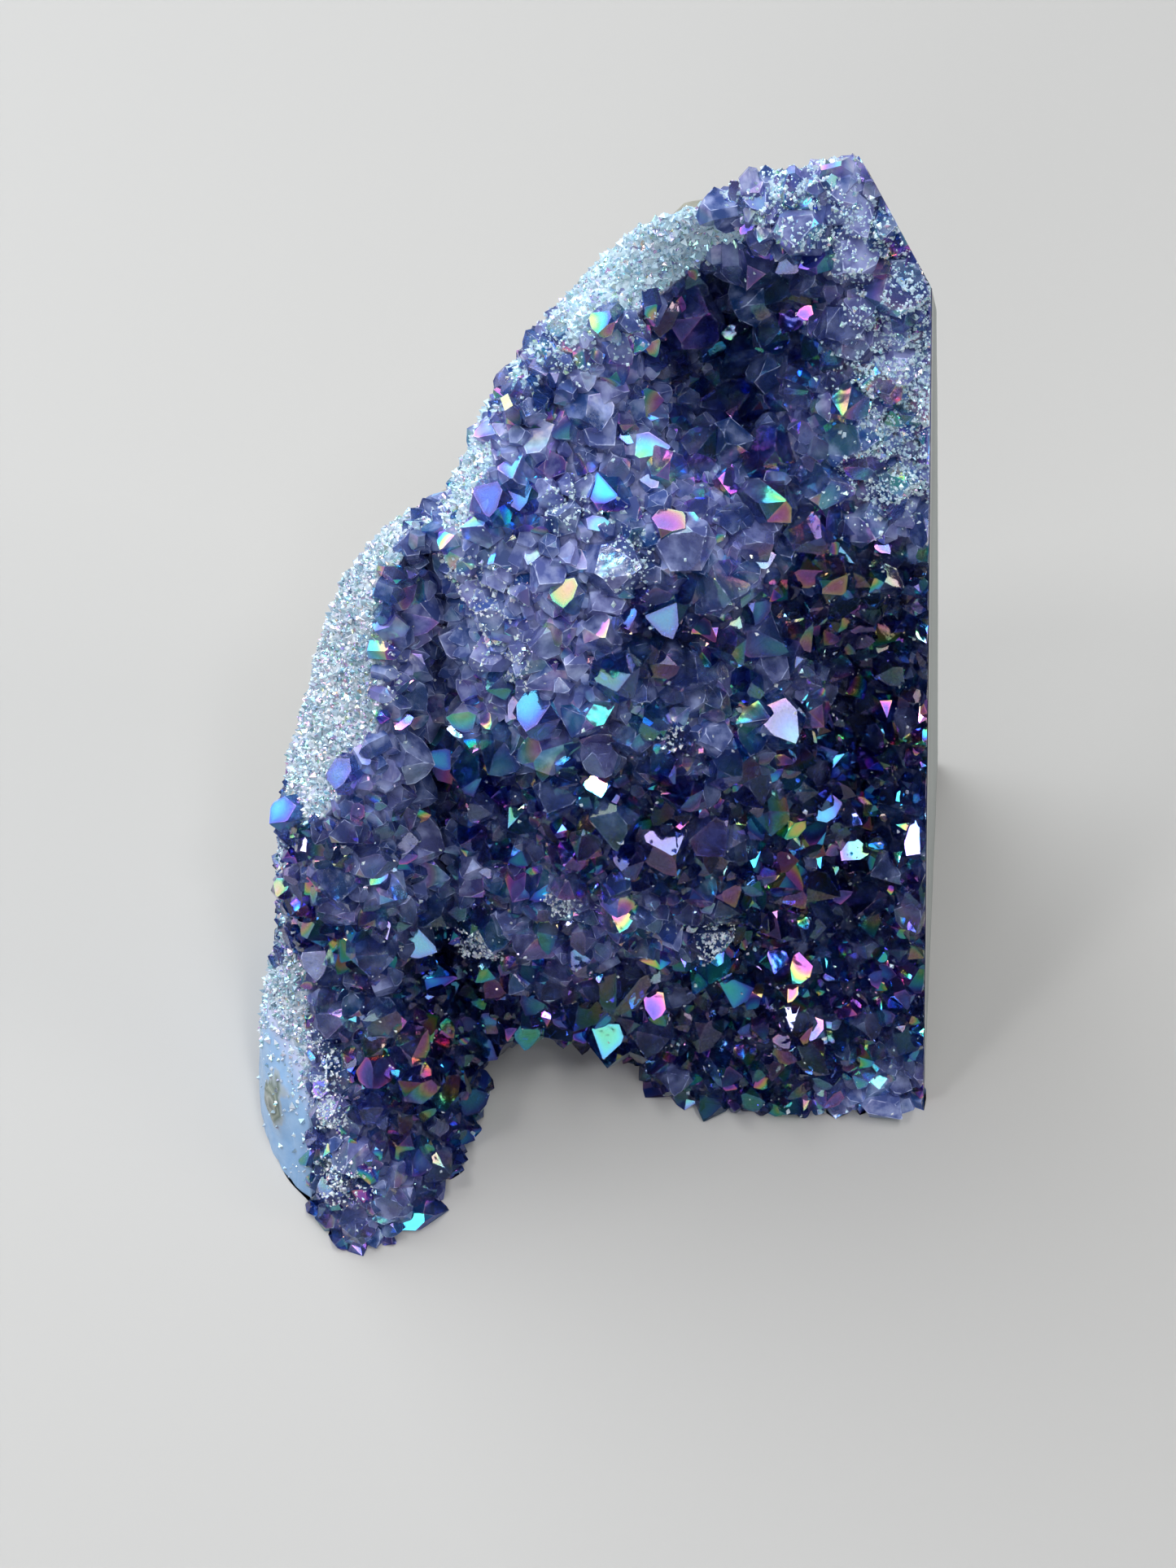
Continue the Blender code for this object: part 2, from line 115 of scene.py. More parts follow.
@dataclass(frozen=True)
class Relief:
    """The crystal face: an outline, lumps and hollows, a groove and scattered knobs."""

    seed: int = 11
    set_back: float = -1.0
    head_rise: float = 97.0
    foot_depth: float = 43.0
    head_depth: float = 5.0
    groove_width: float = 3.8
    groove_depth: float = 4.2
    # The widest line of the stone as across, rise and the width of the rim inside it
    outline: tuple[tuple[float, float, float], ...] = (
        (20.8, 96.2, 1.0), (28.0, 94.0, 1.0), (38.0, 80.0, 1.0), (41.0, 40.0, 1.0), (42.0, 0.0, 1.0),
        (38.0, -18.0, 1.0), (10.0, -20.0, 1.0), (-10.0, -22.0, 1.0), (-23.0, -23.0, 2.0), (-30.5, -15.0, 5.0),
        (-32.8, -5.9, 6.5), (-32.6, 2.0, 6.5), (-31.5, 10.7, 5.5), (-29.3, 19.0, 3.0), (-28.9, 25.0, 1.5),
        (-28.0, 31.8, 1.5), (-27.0, 38.3, 2.0), (-25.3, 44.0, 4.5), (-23.6, 50.0, 6.0), (-21.6, 56.0, 5.0),
        (-18.5, 61.3, 2.5), (-15.1, 64.4, 1.0), (-12.2, 65.6, 1.5), (-10.6, 69.0, 2.5), (-8.2, 74.2, 1.8),
        (-5.4, 79.1, 1.5), (-2.6, 83.0, 2.0), (1.7, 88.3, 5.0), (4.8, 91.0, 6.0), (8.5, 92.4, 5.0),
        (12.9, 94.8, 2.5), (17.1, 95.8, 1.0),
    )
    # Lumps and hollows as across, rise, half width, half height, turn in degrees and height
    forms: tuple[tuple[float, ...], ...] = (
        (3.5, 40.0, 18.0, 36.0, -3.0, 7.5),
        (-3.0, 62.0, 11.0, 13.0, 25.0, 3.0),
        (12.0, 64.0, 12.0, 9.0, -10.0, 3.0),
        (-20.5, 36.0, 8.5, 33.0, 6.0, 6.0),
        (-17.5, 57.0, 6.0, 10.0, 20.0, 2.0),
        (-21.0, -8.0, 13.0, 28.0, 0.0, 13.8),
        (21.0, 10.0, 13.0, 16.0, 0.0, 2.5),
        (10.5, 80.0, 9.5, 13.0, -12.0, -9.0),
        (24.0, 38.0, 7.0, 28.0, 0.0, -5.0),
        (-2.0, -2.0, 11.0, 13.0, 0.0, -11.0),
    )
    groove: tuple[tuple[float, float], ...] = (
        (-12.3, 61.0), (-14.0, 46.0), (-14.2, 36.0), (-15.5, 22.0), (-11.5, 11.0), (-9.0, 2.0),
    )
    knobs: int = 22
    knob_size: Span = (4.5, 8.0)
    knob_across: Span = (-28.0, 30.0)
    knob_rise: Span = (0.0, 92.0)
    knob_stretch: Span = (0.8, 1.3)
    knob_height: Span = (0.6, 2.0)
    curve_steps: int = 24

    def lumps(self) -> list[tuple[float, ...]]:
        """The named forms and the scattered knobs, each as centre, half sizes, turn and height."""
        rng = random.Random(self.seed)
        found = list(self.forms)
        for _ in range(self.knobs):
            size = rng.uniform(*self.knob_size)
            across, rise = rng.uniform(*self.knob_across), rng.uniform(*self.knob_rise)
            length = size * rng.uniform(*self.knob_stretch)
            found.append((across, rise, size, length, 0.0, rng.uniform(*self.knob_height)))
        return found

    @staticmethod
    def lump(places: Array, form: Sequence[float]) -> Array:
        """Height of one lump: its height times (1 less the squared distance in half sizes) to the power 1.5.

        Args:
            places: across and rise of each place.
            form: across, rise, half width, half height, turn in degrees, height.

        Returns:
            The lump's height at each place.
        """
        c, s = math.cos(math.radians(form[4])), math.sin(math.radians(form[4]))
        x, y = places[..., 0] - form[0], places[..., 1] - form[1]
        q = ((x * c + y * s) / form[2]) ** 2 + ((y * c - x * s) / form[3]) ** 2
        return form[5] * np.clip(1.0 - q, 0.0, None) ** 1.5

    @staticmethod
    def path_distance(places: Array, path: Sequence[tuple[float, float]]) -> Array:
        """Distance from each place to a path of straight runs."""
        best = np.full(places.shape[:-1], np.inf)
        for start, end in zip(path, path[1:]):
            a, run = np.array(start), np.array(end) - np.array(start)
            share = np.clip((places - a) @ run / (run @ run), 0.0, 1.0)
            best = np.minimum(best, np.linalg.norm(places - a - share[..., None] * run, axis=-1))
        return best

    def out(self, places: Array) -> Array:
        """How far the face stands out: the sum of its lumps, less a groove of the same rounded section."""
        total = self.set_back + sum(self.lump(places, form) for form in self.lumps())
        groove = np.clip(1.0 - (self.path_distance(places, self.groove) / self.groove_width) ** 2, 0.0, None)
        return total - self.groove_depth * groove**1.5

    def normal(self, places: Array, step: float = 0.8) -> Array:
        """Unit normal of the face, from the difference of its height over a small step each way."""
        steps = np.array([[step, 0.0], [0.0, step]])
        slopes = [(self.out(places + d) - self.out(places - d)) / (2 * step) for d in steps]
        normal = np.stack([-slopes[0], -slopes[1], np.ones(places.shape[:-1])], -1)
        return normal / np.linalg.norm(normal, axis=-1, keepdims=True)

    def on_face(self, places: Array) -> Array:
        """Across and rise with how far out the face is there."""
        return np.concatenate([places, self.out(places)[..., None]], -1)

    def depth(self, rise: Array) -> Array:
        """Thickness of the wall behind the slab plane: straight from its foot to its head."""
        share = np.clip(rise / self.head_rise, 0.0, 1.0)
        return self.foot_depth + (self.head_depth - self.foot_depth) * share

    def ring(self, count: int) -> Array:
        """The outline as a closed smooth curve of evenly spaced points, with its rim width.

        Args:
            count: how many points.

        Returns:
            Across, rise and rim width of each point, along a Catmull-Rom curve through the given points.
        """
        points = np.array(self.outline)
        before, after, beyond = np.roll(points, 1, 0), np.roll(points, -1, 0), np.roll(points, -2, 0)
        linear = after - before
        square = 2 * before - 5 * points + 4 * after - beyond
        cube = 3 * points - before - 3 * after + beyond
        shares = np.linspace(0.0, 1.0, self.curve_steps, endpoint=False)
        fine = np.stack([points + 0.5 * (linear * t + square * t**2 + cube * t**3) for t in shares], 1)
        fine = fine.reshape(-1, 3)
        steps = np.linalg.norm(np.diff(fine[:, :2], axis=0, append=fine[:1, :2]), axis=1)
        travelled = np.concatenate([[0.0], np.cumsum(steps)])
        wanted = np.arange(count) * travelled[-1] / count
        closed = np.vstack([fine, fine[:1]])
        return np.stack([np.interp(wanted, travelled, closed[:, k]) for k in range(3)], 1)

    @staticmethod
    def inside(places: Array, ring: Array) -> Array:
        """True where a place lies inside the closed ring: a line from it crosses an odd number of sides."""
        ends = np.roll(ring, -1, 0)
        x, y = places[:, :1], places[:, 1:2]
        spans = (ring[:, 1] > y) != (ends[:, 1] > y)
        rise = np.where(ends[:, 1] == ring[:, 1], 1.0, ends[:, 1] - ring[:, 1])
        crossing = ring[:, 0] + (y - ring[:, 1]) * (ends[:, 0] - ring[:, 0]) / rise
        return (spans & (x < crossing)).sum(1) % 2 == 1


def inset(ring: Array, width: Array | float) -> Array:
    """The closed ring moved inwards by the width, square to the line between each point's neighbours."""
    along = np.roll(ring, -1, 0) - np.roll(ring, 1, 0)
    along /= np.linalg.norm(along, axis=1, keepdims=True)
    return ring + np.stack([along[:, 1], -along[:, 0]], 1) * np.reshape(width, (-1, 1))


def softened(ring: Array, reach: int) -> Array:
    """The closed ring with each point set to the mean of its neighbours up to reach on either side."""
    return sum(np.roll(ring, k, 0) for k in range(-reach, reach + 1)) / (2 * reach + 1)


@dataclass(frozen=True)
class SawCuts:
    """The flat cuts as points and outward normals: right side, top right, front right corner and base."""

    slab: SlabFrame
    planes: tuple[tuple[Sequence[float], Sequence[float]], ...] = (
        ((33.7, 6.3, 0.0), (0.986, -0.110, 0.128)),
        ((21.2, 35.8, 88.7), (0.854, 0.315, 0.412)),
        ((27.5, -15.5, 0.0), (0.62, -0.62, -0.48)),
        ((0.0, 0.0, 0.0), (0.0, 0.0, -1.0)),
    )

    def beyond(self, places: Array) -> Array:
        """How far each slab place lies past each cut, one column to a cut."""
        columns = []
        for point, normal in self.planes:
            direction = self.slab.to_slab(normal)
            at = self.slab.axes() @ np.array(point)
            columns.append((places - at) @ direction)
        return np.stack(columns, -1)

    def trim(self, places: Array, clearance: float = 0.0) -> Array:
        """Places past a cut are set back onto it, straight along the cut's normal."""
        trimmed = places
        for k, (_, normal) in enumerate(self.planes):
            past = np.clip(self.beyond(trimmed)[..., k] + clearance, 0.0, None)
            trimmed = trimmed - past[..., None] * self.slab.to_slab(normal)
        return trimmed

    def along(
        self, surface: Callable[[Array], Array], centre: Array, places: Array, steps: int = 160,
        nearest: float = 0.3,
    ) -> tuple[Array, Array]:
        """Places on a surface past a cut are drawn in along the surface until they reach it.

        Args:
            surface: gives the slab places of a surface from across and rise.
            centre: across and rise inside the stone.
            places: across and rise of each place to draw in.
            steps: places tried on the way out from the centre.
            nearest: share of the way at which the first is tried.

        Returns:
            The places on the surface, and 1 for each that was drawn in or 0 for each that was free.
        """
        shares = np.linspace(nearest, 1.0, steps)
        past = self.beyond(surface(centre + shares[:, None, None] * (places - centre))).max(-1)
        first = np.argmax(past > 0.0, axis=0)
        drawn = past.max(0) > 0.0
        column = np.arange(len(places))
        low, high = past[first - 1, column], past[first, column]
        part = np.where(drawn, -low / np.where(drawn, high - low, 1.0), 0.0)
        share = np.where(drawn, shares[first - 1] + part * (shares[1] - shares[0]), 1.0)
        return surface(centre + share[:, None] * (places - centre)), drawn.astype(float)

    def inwards(self, centre: Array, places: Array) -> Array:
        """Places past a cut are drawn to it, square to out, towards a centre given by across and rise."""
        start = np.concatenate([np.broadcast_to(centre, places[..., :2].shape), places[..., 2:]], -1)
        inner, outer = self.beyond(start), self.beyond(places)
        share = np.where(outer > 0.0, -inner / np.maximum(outer - inner, TINY), 1.0).min(-1)
        return start + share[..., None] * (places - start)

    def sharpen(self, places: Array, reach: float = 0.35) -> Array:
        """Places within reach of a cut are set onto it, so that the cuts meet in clean edges."""
        for _ in range(2):
            for k, (_, normal) in enumerate(self.planes):
                past = self.beyond(places)[..., k]
                places = places - np.where(past > -reach, past, 0.0)[..., None] * self.slab.to_slab(normal)
        return places


# Large odd numbers that scramble a lattice corner's place and seed into a random-looking key
SCRAMBLE_PLACE = np.array([374761393, 668265263, 1442695041])
SCRAMBLE_SEED = 1013904223
SCRAMBLE_KEY = 1274126177


def lattice_noise(places: Array, scale: float, seed: int) -> Array:
    """Smooth noise between -1 and 1: random values at a cubic lattice's corners, blended with a soft step.

    Args:
        places: points, in millimetres.
        scale: the side of a lattice cell.
        seed: picks the random values.

    Returns:
        One value for each point.
    """
    scaled = places / scale
    cell = np.floor(scaled).astype(np.int64)
    part = scaled - cell
    soft = part * part * (3.0 - 2.0 * part)
    total = np.zeros(places.shape[:-1])
    for corner in range(8):
        offset = np.array([corner & 1, (corner >> 1) & 1, corner >> 2])
        key = (cell + offset) @ SCRAMBLE_PLACE + seed * SCRAMBLE_SEED
        key = (key ^ (key >> 13)) * SCRAMBLE_KEY & 0x7FFFFFFF
        value = ((key ^ (key >> 16)) & 0xFFFF) / 32767.5 - 1.0
        weight = np.where(offset == 1, soft, 1.0 - soft).prod(-1)
        total += value * weight
    return total


def rough(places: Array, scale: float, seed: int, octaves: int = 3) -> Array:
    """Noise of several sizes, each half as large and half as high as the one before."""
    return sum(lattice_noise(places, scale / 2**k, seed + k) / 2**k for k in range(octaves))


@dataclass(frozen=True)
class Unevenness:
    """Noise of one kind: the size of its cells, its height, its seed and how many sizes are added up."""

    scale: float
    height: float
    seed: int
    octaves: int = 3

    def read(self, places: Array) -> Array:
        """Its height at each place."""
        return self.height * rough(places, self.scale, self.seed, self.octaves)


# Meshes


def add_piece(
    name: str,
    places: Array,
    loops: NDArray[np.int64],
    starts: NDArray[np.int64],
    attributes: dict[str, tuple[str, Array]],
    material: bpy.types.Material,
    slot: Slot,
    smooth: bool = False,
) -> bpy.types.Object:
    """Puts a computed surface into the scene as one piece of the stone.

    Args:
        name: the piece's name.
        places: vertices in the part's frame, in metres.
        loops: vertex numbers of all faces, one after the other.
        starts: where each face starts in loops.
        attributes: numbers kept on the mesh, each with its domain.
        material: its finish.
        slot: the record's slot for it; not used.
        smooth: whether its faces are shaded as one rounded surface.

    Returns:
        The new object.
    """
    mesh = bpy.data.meshes.new(name)
    mesh.vertices.add(len(places))
    mesh.vertices.foreach_set("co", np.ascontiguousarray(places, np.float32).ravel())
    mesh.loops.add(len(loops))
    mesh.loops.foreach_set("vertex_index", np.ascontiguousarray(loops, np.int32))
    mesh.polygons.add(len(starts))
    mesh.polygons.foreach_set("loop_start", np.ascontiguousarray(starts, np.int32))
    mesh.update(calc_edges=True)
    mesh.polygons.foreach_set("use_smooth", np.full(len(starts), smooth))
    for key, (domain, values) in attributes.items():
        layer = mesh.attributes.new(key, "FLOAT", domain)
        layer.data.foreach_set("value", np.ascontiguousarray(values, np.float32).ravel())
    if smooth:
        mesh.set_sharp_from_angle(angle=SHARP_ANGLE)
    mesh.materials.append(material)
    mesh.validate()
    piece = bpy.data.objects.new(name, mesh)
    bpy.context.scene.collection.objects.link(piece)
    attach(piece, "root")
    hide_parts(PART)
    return piece


def log_piece(piece: bpy.types.Object) -> None:
    """Logs a piece's name and how large its mesh is."""
    log.info("%s: %d corners, %d faces", piece.name, len(piece.data.vertices), len(piece.data.polygons))


# Shader expressions


class Value:
    """A number socket on which Python's operators add Math nodes."""

    def __init__(self, shader: "Shader", socket: bpy.types.NodeSocket) -> None:
        """Wraps a socket of the shader's tree."""
        self.shader, self.socket = shader, socket

    def _maths(self, operation: str, *values: "Value | float") -> "Value":
        """A Math node on the given values."""
        return self.shader.node("ShaderNodeMath", {"operation": operation}, values)

    def __add__(self, other: "Value | float") -> "Value":
        """Sum."""
        return self._maths("ADD", self, other)

    def __sub__(self, other: "Value | float") -> "Value":
        """Difference."""
        return self._maths("SUBTRACT", self, other)

    def __rsub__(self, other: float) -> "Value":
        """Difference from a number."""
        return self._maths("SUBTRACT", other, self)

    def __mul__(self, other: "Value | float") -> "Value":
        """Product."""
        return self._maths("MULTIPLY", self, other)

    def __pow__(self, other: float) -> "Value":
        """Power."""
        return self._maths("POWER", self, other)

    def __gt__(self, other: float) -> "Value":
        """1 where it is greater, otherwise 0."""
        return self._maths("GREATER_THAN", self, other)

    __radd__, __rmul__ = __add__, __mul__

    def part(self) -> "Value":
        """The part after the point."""
        return self._maths("FRACT", self)

    def held(self) -> "Value":
        """Held between 0 and 1."""
        return self.shader.node("ShaderNodeClamp", {}, [self])


@dataclass
class Shader:
    """A material's node tree."""

    MIX_SHARE, MIX_A, MIX_B = 0, 6, 7
    # Painted reflection of the window: colours turn light sky blue towards the head of the stone.
    SKY_REFLECTION_RISE = (56.0 * MM, 66.0 * MM)
    SKY_REFLECTION_SHARE = 0.6
    SKY_REFLECTION_BLUE = (0.62, 0.86, 1.0)
    name: str
    material: bpy.types.Material = field(init=False)
    tree: bpy.types.NodeTree = field(init=False)

    def __post_init__(self) -> None:
        """Makes the material and empties its tree."""
        self.material = bpy.data.materials.new(self.name)
        self.material.use_nodes = True
        self.tree = self.material.node_tree
        self.tree.nodes.clear()

    def add(
        self, kind: str, settings: dict[str, object] | None = None,
        inputs: dict[str, object] | Iterable[object] = (),
    ) -> bpy.types.Node:
        """Adds a node.

        Args:
            kind: the node's type.
            settings: its own settings; stops are the stops of a ramp.
            inputs: values or links for its sockets, by name or in order.

        Returns:
            The node.
        """
        node = self.tree.nodes.new(kind)
        for key, value in (settings or {}).items():
            if key == "stops":
                ramp = node.color_ramp
                while len(ramp.elements) < len(value):
                    ramp.elements.new(0.5)
                for element, (position, colour) in zip(ramp.elements, value):
                    element.position, element.color = position, (*colour, 1.0)
            else:
                setattr(node, key, value)
        pairs = inputs.items() if isinstance(inputs, dict) else enumerate(inputs)
        for key, value in pairs:
            socket = node.inputs[key]
            if isinstance(value, Value):
                value = value.socket
            if isinstance(value, bpy.types.NodeSocket):
                self.tree.links.new(value, socket)
            elif isinstance(value, tuple) and len(value) == 3 and socket.type == "RGBA":
                socket.default_value = (*value, 1.0)
            else:
                socket.default_value = value
        return node

    def node(self, kind: str, settings: dict[str, object] | None = None,
             inputs: dict[str, object] | Iterable[object] = (), output: int | str = 0) -> Value:
        """Adds a node and wraps one of its outputs."""
        return Value(self, self.add(kind, settings, inputs).outputs[output])

    def attribute(self, name: str) -> Value:
        """A number kept on the mesh."""
        return self.node("ShaderNodeAttribute", {"attribute_name": name}, output="Fac")

    def place(self) -> Value:
        """Object coordinates."""
        return self.node("ShaderNodeTexCoord", output="Object")

    def noise(self, scale: float, detail: float = 3.0, place: Value | None = None) -> Value:
        """Noise between 0 and 1 on the object's place."""
        inputs = {"Vector": place or self.place(), "Scale": scale, "Detail": detail}
        return self.node("ShaderNodeTexNoise", {}, inputs)

    def cells(self, scale: float) -> bpy.types.Node:
        """Voronoi cells on the object's place."""
        return self.add("ShaderNodeTexVoronoi", {}, {"Vector": self.place(), "Scale": scale})

    def channel(self, colour: bpy.types.NodeSocket, channel: str = "Red") -> Value:
        """One channel of a colour."""
        return self.node("ShaderNodeSeparateColor", {}, [colour], channel)

    def ramp(self, value: Value, stops: Stops) -> Value:
        """A colour ramp read at a value."""
        return self.node("ShaderNodeValToRGB", {"stops": stops}, [value])

    def with_painted_sky_reflection(self, colour: Value) -> Value:
        """A colour turned to light sky blue towards the head of the stone: a painted reflection of the
        window.
        """
        height = self.node("ShaderNodeSeparateXYZ", {}, [self.place()], "Z")
        return self.mix(self.span(height, *self.SKY_REFLECTION_RISE, 0.0, self.SKY_REFLECTION_SHARE), colour, self.SKY_REFLECTION_BLUE)

    def mix(self, share: Value | float, a: Value | Colour, b: Value | Colour) -> Value:
        """Two colours mixed."""
        inputs = {self.MIX_SHARE: share, self.MIX_A: a, self.MIX_B: b}
        return self.node("ShaderNodeMix", {"data_type": "RGBA"}, inputs, 2)

    def span(self, value: Value | bpy.types.NodeSocket, low: float, high: float, start: float = 0.0,
             end: float = 1.0) -> Value:
        """A value carried from low to high onto start to end, held at both ends."""
        return self.node("ShaderNodeMapRange", {}, [value, low, high, start, end])

    def bump(self, height: Value, distance: float) -> Value:
        """A bump for the Normal socket."""
        return self.node("ShaderNodeBump", {}, {"Height": height, "Distance": distance, "Strength": 1.0})

    def principled(self, inputs: dict[str, object]) -> Value:
        """A Principled surface."""
        return self.node("ShaderNodeBsdfPrincipled", {}, inputs)

    def blend(self, share: Value | float, a: Value, b: Value) -> Value:
        """Two surfaces mixed."""
        return self.node("ShaderNodeMixShader", {}, [share, a, b])

    def finish(self, surface: Value, volume: Value | None = None) -> bpy.types.Material:
        """Joins the surface, and a volume if there is one, to the output."""
        inputs: dict[str, object] = {"Surface": surface}
        if volume:
            inputs["Volume"] = volume
        self.add("ShaderNodeOutputMaterial", {}, inputs)
        return self.material


FILM_STOPS: Stops = (
    (0.00, (0.05, 0.04, 0.42)),
    (0.11, (0.03, 0.14, 0.80)),
    (0.23, (0.04, 0.50, 0.90)),
    (0.33, (0.05, 0.72, 0.68)),
    (0.43, (0.10, 0.70, 0.25)),
    (0.52, (0.60, 0.78, 0.15)),
    (0.61, (0.95, 0.62, 0.22)),
    (0.70, (0.90, 0.26, 0.36)),
    (0.80, (0.70, 0.12, 0.72)),
    (0.90, (0.25, 0.10, 0.75)),
    (1.00, (0.05, 0.04, 0.42)),
)


@dataclass(frozen=True)
class AuraQuartz:
    """Clear to cloudy violet quartz under a thin metal film whose colour changes over and between facets.

    Each noise is given by its scale and detail.
    """

    name: str = "aura_amethyst"
    deep: Colour = (0.14, 0.34, 0.88)
    violet: Colour = (0.42, 0.47, 0.95)
    cloud_blue: Colour = (0.018, 0.080, 0.30)
    cloud_violet: Colour = (0.17, 0.19, 0.48)
    # Pale colour of the veils and of the painted highlights along the facets' edges.
    veil_and_edge_highlight: Colour = (0.56, 0.64, 0.93)
    clear_roughness: float = 0.03
    cloudy_roughness: float = 0.12
    film_roughness: float = 0.08
    absorbed: Colour = (0.25, 0.32, 0.90)
    density: float = 260.0
    grain: Span = (1500.0, 6.0)
    grain_span: Span = (0.44, 0.62)
    grain_height: float = 0.03 * MM
    wisps: Span = (620.0, 9.0)
    wisp_span: Span = (0.44, 0.82)
    wisp_share: float = 0.9
    least_wisps: float = 0.04
    # Painted highlight along the facets' edges: where it begins, and its least strength.
    edge_highlight_span: Span = (0.90, 1.0)
    least_edge_highlight: float = 0.25
    ripple: Span = (450.0, 2.0)
    ripple_height: float = 0.06 * MM
    edge_film: float = 0.14
    edge_power: float = 3.0
    cloud_power: float = 1.5
    cloud_share: float = 0.9
    veil_and_edge_highlight_share: float = 0.8

    def build(self) -> bpy.types.Material:
        """The material: body colour from tone, clouds from milk with its painted light and shade, a film from
        film and glow, and painted highlights along the facets' edges.
        """
        s = Shader(self.name)
        tone, milk, glow, edge = (s.attribute(key) for key in ("tone", "milk", "glow", "edge"))
        film_number = s.attribute("film") - edge**self.edge_power * self.edge_film
        film_colour = s.ramp(film_number.part(), FILM_STOPS)
        grain = s.noise(*self.grain)
        wisps = s.span(s.noise(*self.wisps), *self.wisp_span)
        # Painted highlight: thin pale lines along the facets' edges, added to the veil.
        painted_edge_highlight = s.span(edge, *self.edge_highlight_span) * s.span(grain, *self.grain_span)
        painted_edge_highlight = painted_edge_highlight * (milk + self.least_edge_highlight)
        veil_and_edge_highlight = (wisps * (milk * self.wisp_share + self.least_wisps) + painted_edge_highlight).held()
        bump = s.bump(grain, self.grain_height)
        ripple = s.bump(s.noise(*self.ripple), self.ripple_height)
        clear = s.principled({
            "Base Color": s.mix(tone, self.deep, self.violet), "Roughness": self.clear_roughness,
            "IOR": QUARTZ_IOR, "Transmission Weight": 1.0, "Normal": ripple,
        })
        cloudy = s.principled({
            "Base Color": s.mix(veil_and_edge_highlight, s.mix(tone, self.cloud_blue, self.cloud_violet), self.veil_and_edge_highlight),
            "Roughness": self.cloudy_roughness, "IOR": QUARTZ_IOR, "Normal": bump,
        })
        film = s.principled({
            "Base Color": film_colour, "Metallic": 1.0, "Roughness": self.film_roughness, "Normal": ripple,
        })
        # Cloudiness from the map carries its painted light and shade, and the veil carries its painted edge
        # highlights.
        clouds_with_painted_light = milk**self.cloud_power * self.cloud_share + veil_and_edge_highlight * self.veil_and_edge_highlight_share
        body = s.blend(clouds_with_painted_light.held(), clear, cloudy)
        surface = s.blend(glow, body, film)
        volume = s.node("ShaderNodeVolumeAbsorption", {}, {"Color": self.absorbed, "Density": self.density})
        return s.finish(surface, volume)


# Ground quartz from grain to grain, agate from its edge inwards, and the pit from its rim to its floor, whose
# darkening to the floor is painted shade
GRAIN_STOPS: Stops = (
    (0.00, (0.18, 0.30, 0.40)), (0.30, (0.36, 0.48, 0.58)),
    (0.60, (0.54, 0.61, 0.72)), (1.00, (0.82, 0.88, 0.92)),
)
AGATE_STOPS: Stops = (
    (0.00, (0.55, 0.66, 0.76)), (0.35, (0.48, 0.52, 0.77)),
    (0.65, (0.26, 0.43, 0.68)), (1.00, (0.20, 0.37, 0.63)),
)
PIT_BANDS_AND_SHADE_STOPS: Stops = (
    (0.00, (0.34, 0.42, 0.56)), (0.20, (0.30, 0.36, 0.40)), (0.36, (0.13, 0.17, 0.15)),
    (0.52, (0.28, 0.32, 0.28)), (0.64, (0.12, 0.15, 0.13)), (0.80, (0.30, 0.33, 0.31)),
    (1.00, (0.06, 0.08, 0.08)),
)
# The sawn face from the crystals backwards, and the rind from its hollows to its knobs
LAYER_STOPS: Stops = (
    (0.00, (0.16, 0.11, 0.10)), (0.05, (0.13, 0.09, 0.07)), (0.08, (0.44, 0.46, 0.46)),
    (0.22, (0.50, 0.51, 0.49)), (0.26, (0.35, 0.38, 0.36)), (0.34, (0.40, 0.43, 0.42)),
    (0.38, (0.30, 0.33, 0.32)), (1.00, (0.34, 0.37, 0.36)),
)
RIND_STOPS: Stops = (
    (0.00, (0.10, 0.11, 0.09)), (0.35, (0.20, 0.22, 0.18)), (0.55, (0.30, 0.29, 0.24)),
    (0.75, (0.40, 0.36, 0.29)), (1.00, (0.52, 0.50, 0.45)),
)


@dataclass(frozen=True)
class GroundQuartz:
    """Small broken quartz: grey-blue to white grains, some of which flash in the film's colours."""

    name: str = "ground_quartz"
    roughness: float = 0.18
    film_roughness: float = 0.14
    film_paleness: float = 0.3
    dimples: Span = (3000.0, 2.0)
    dimple_depth: float = 0.04 * MM

    def build(self) -> bpy.types.Material:
        """The material: grain colour from tone, flashes from film and glow."""
        s = Shader(self.name)
        bump = s.bump(s.noise(*self.dimples), self.dimple_depth)
        # Painted reflection: the grains turn sky blue towards the head of the stone.
        body = s.principled({
            "Base Color": s.with_painted_sky_reflection(s.ramp(s.attribute("tone"), GRAIN_STOPS)), "Roughness": self.roughness,
            "IOR": QUARTZ_IOR, "Normal": bump,
        })
        flash = s.mix(self.film_paleness, s.ramp(s.attribute("film").part(), FILM_STOPS), WHITE)
        film = s.principled({
            "Base Color": flash, "Metallic": 1.0, "Roughness": self.film_roughness, "Normal": bump,
        })
        return s.finish(s.blend(s.attribute("glow"), body, film))


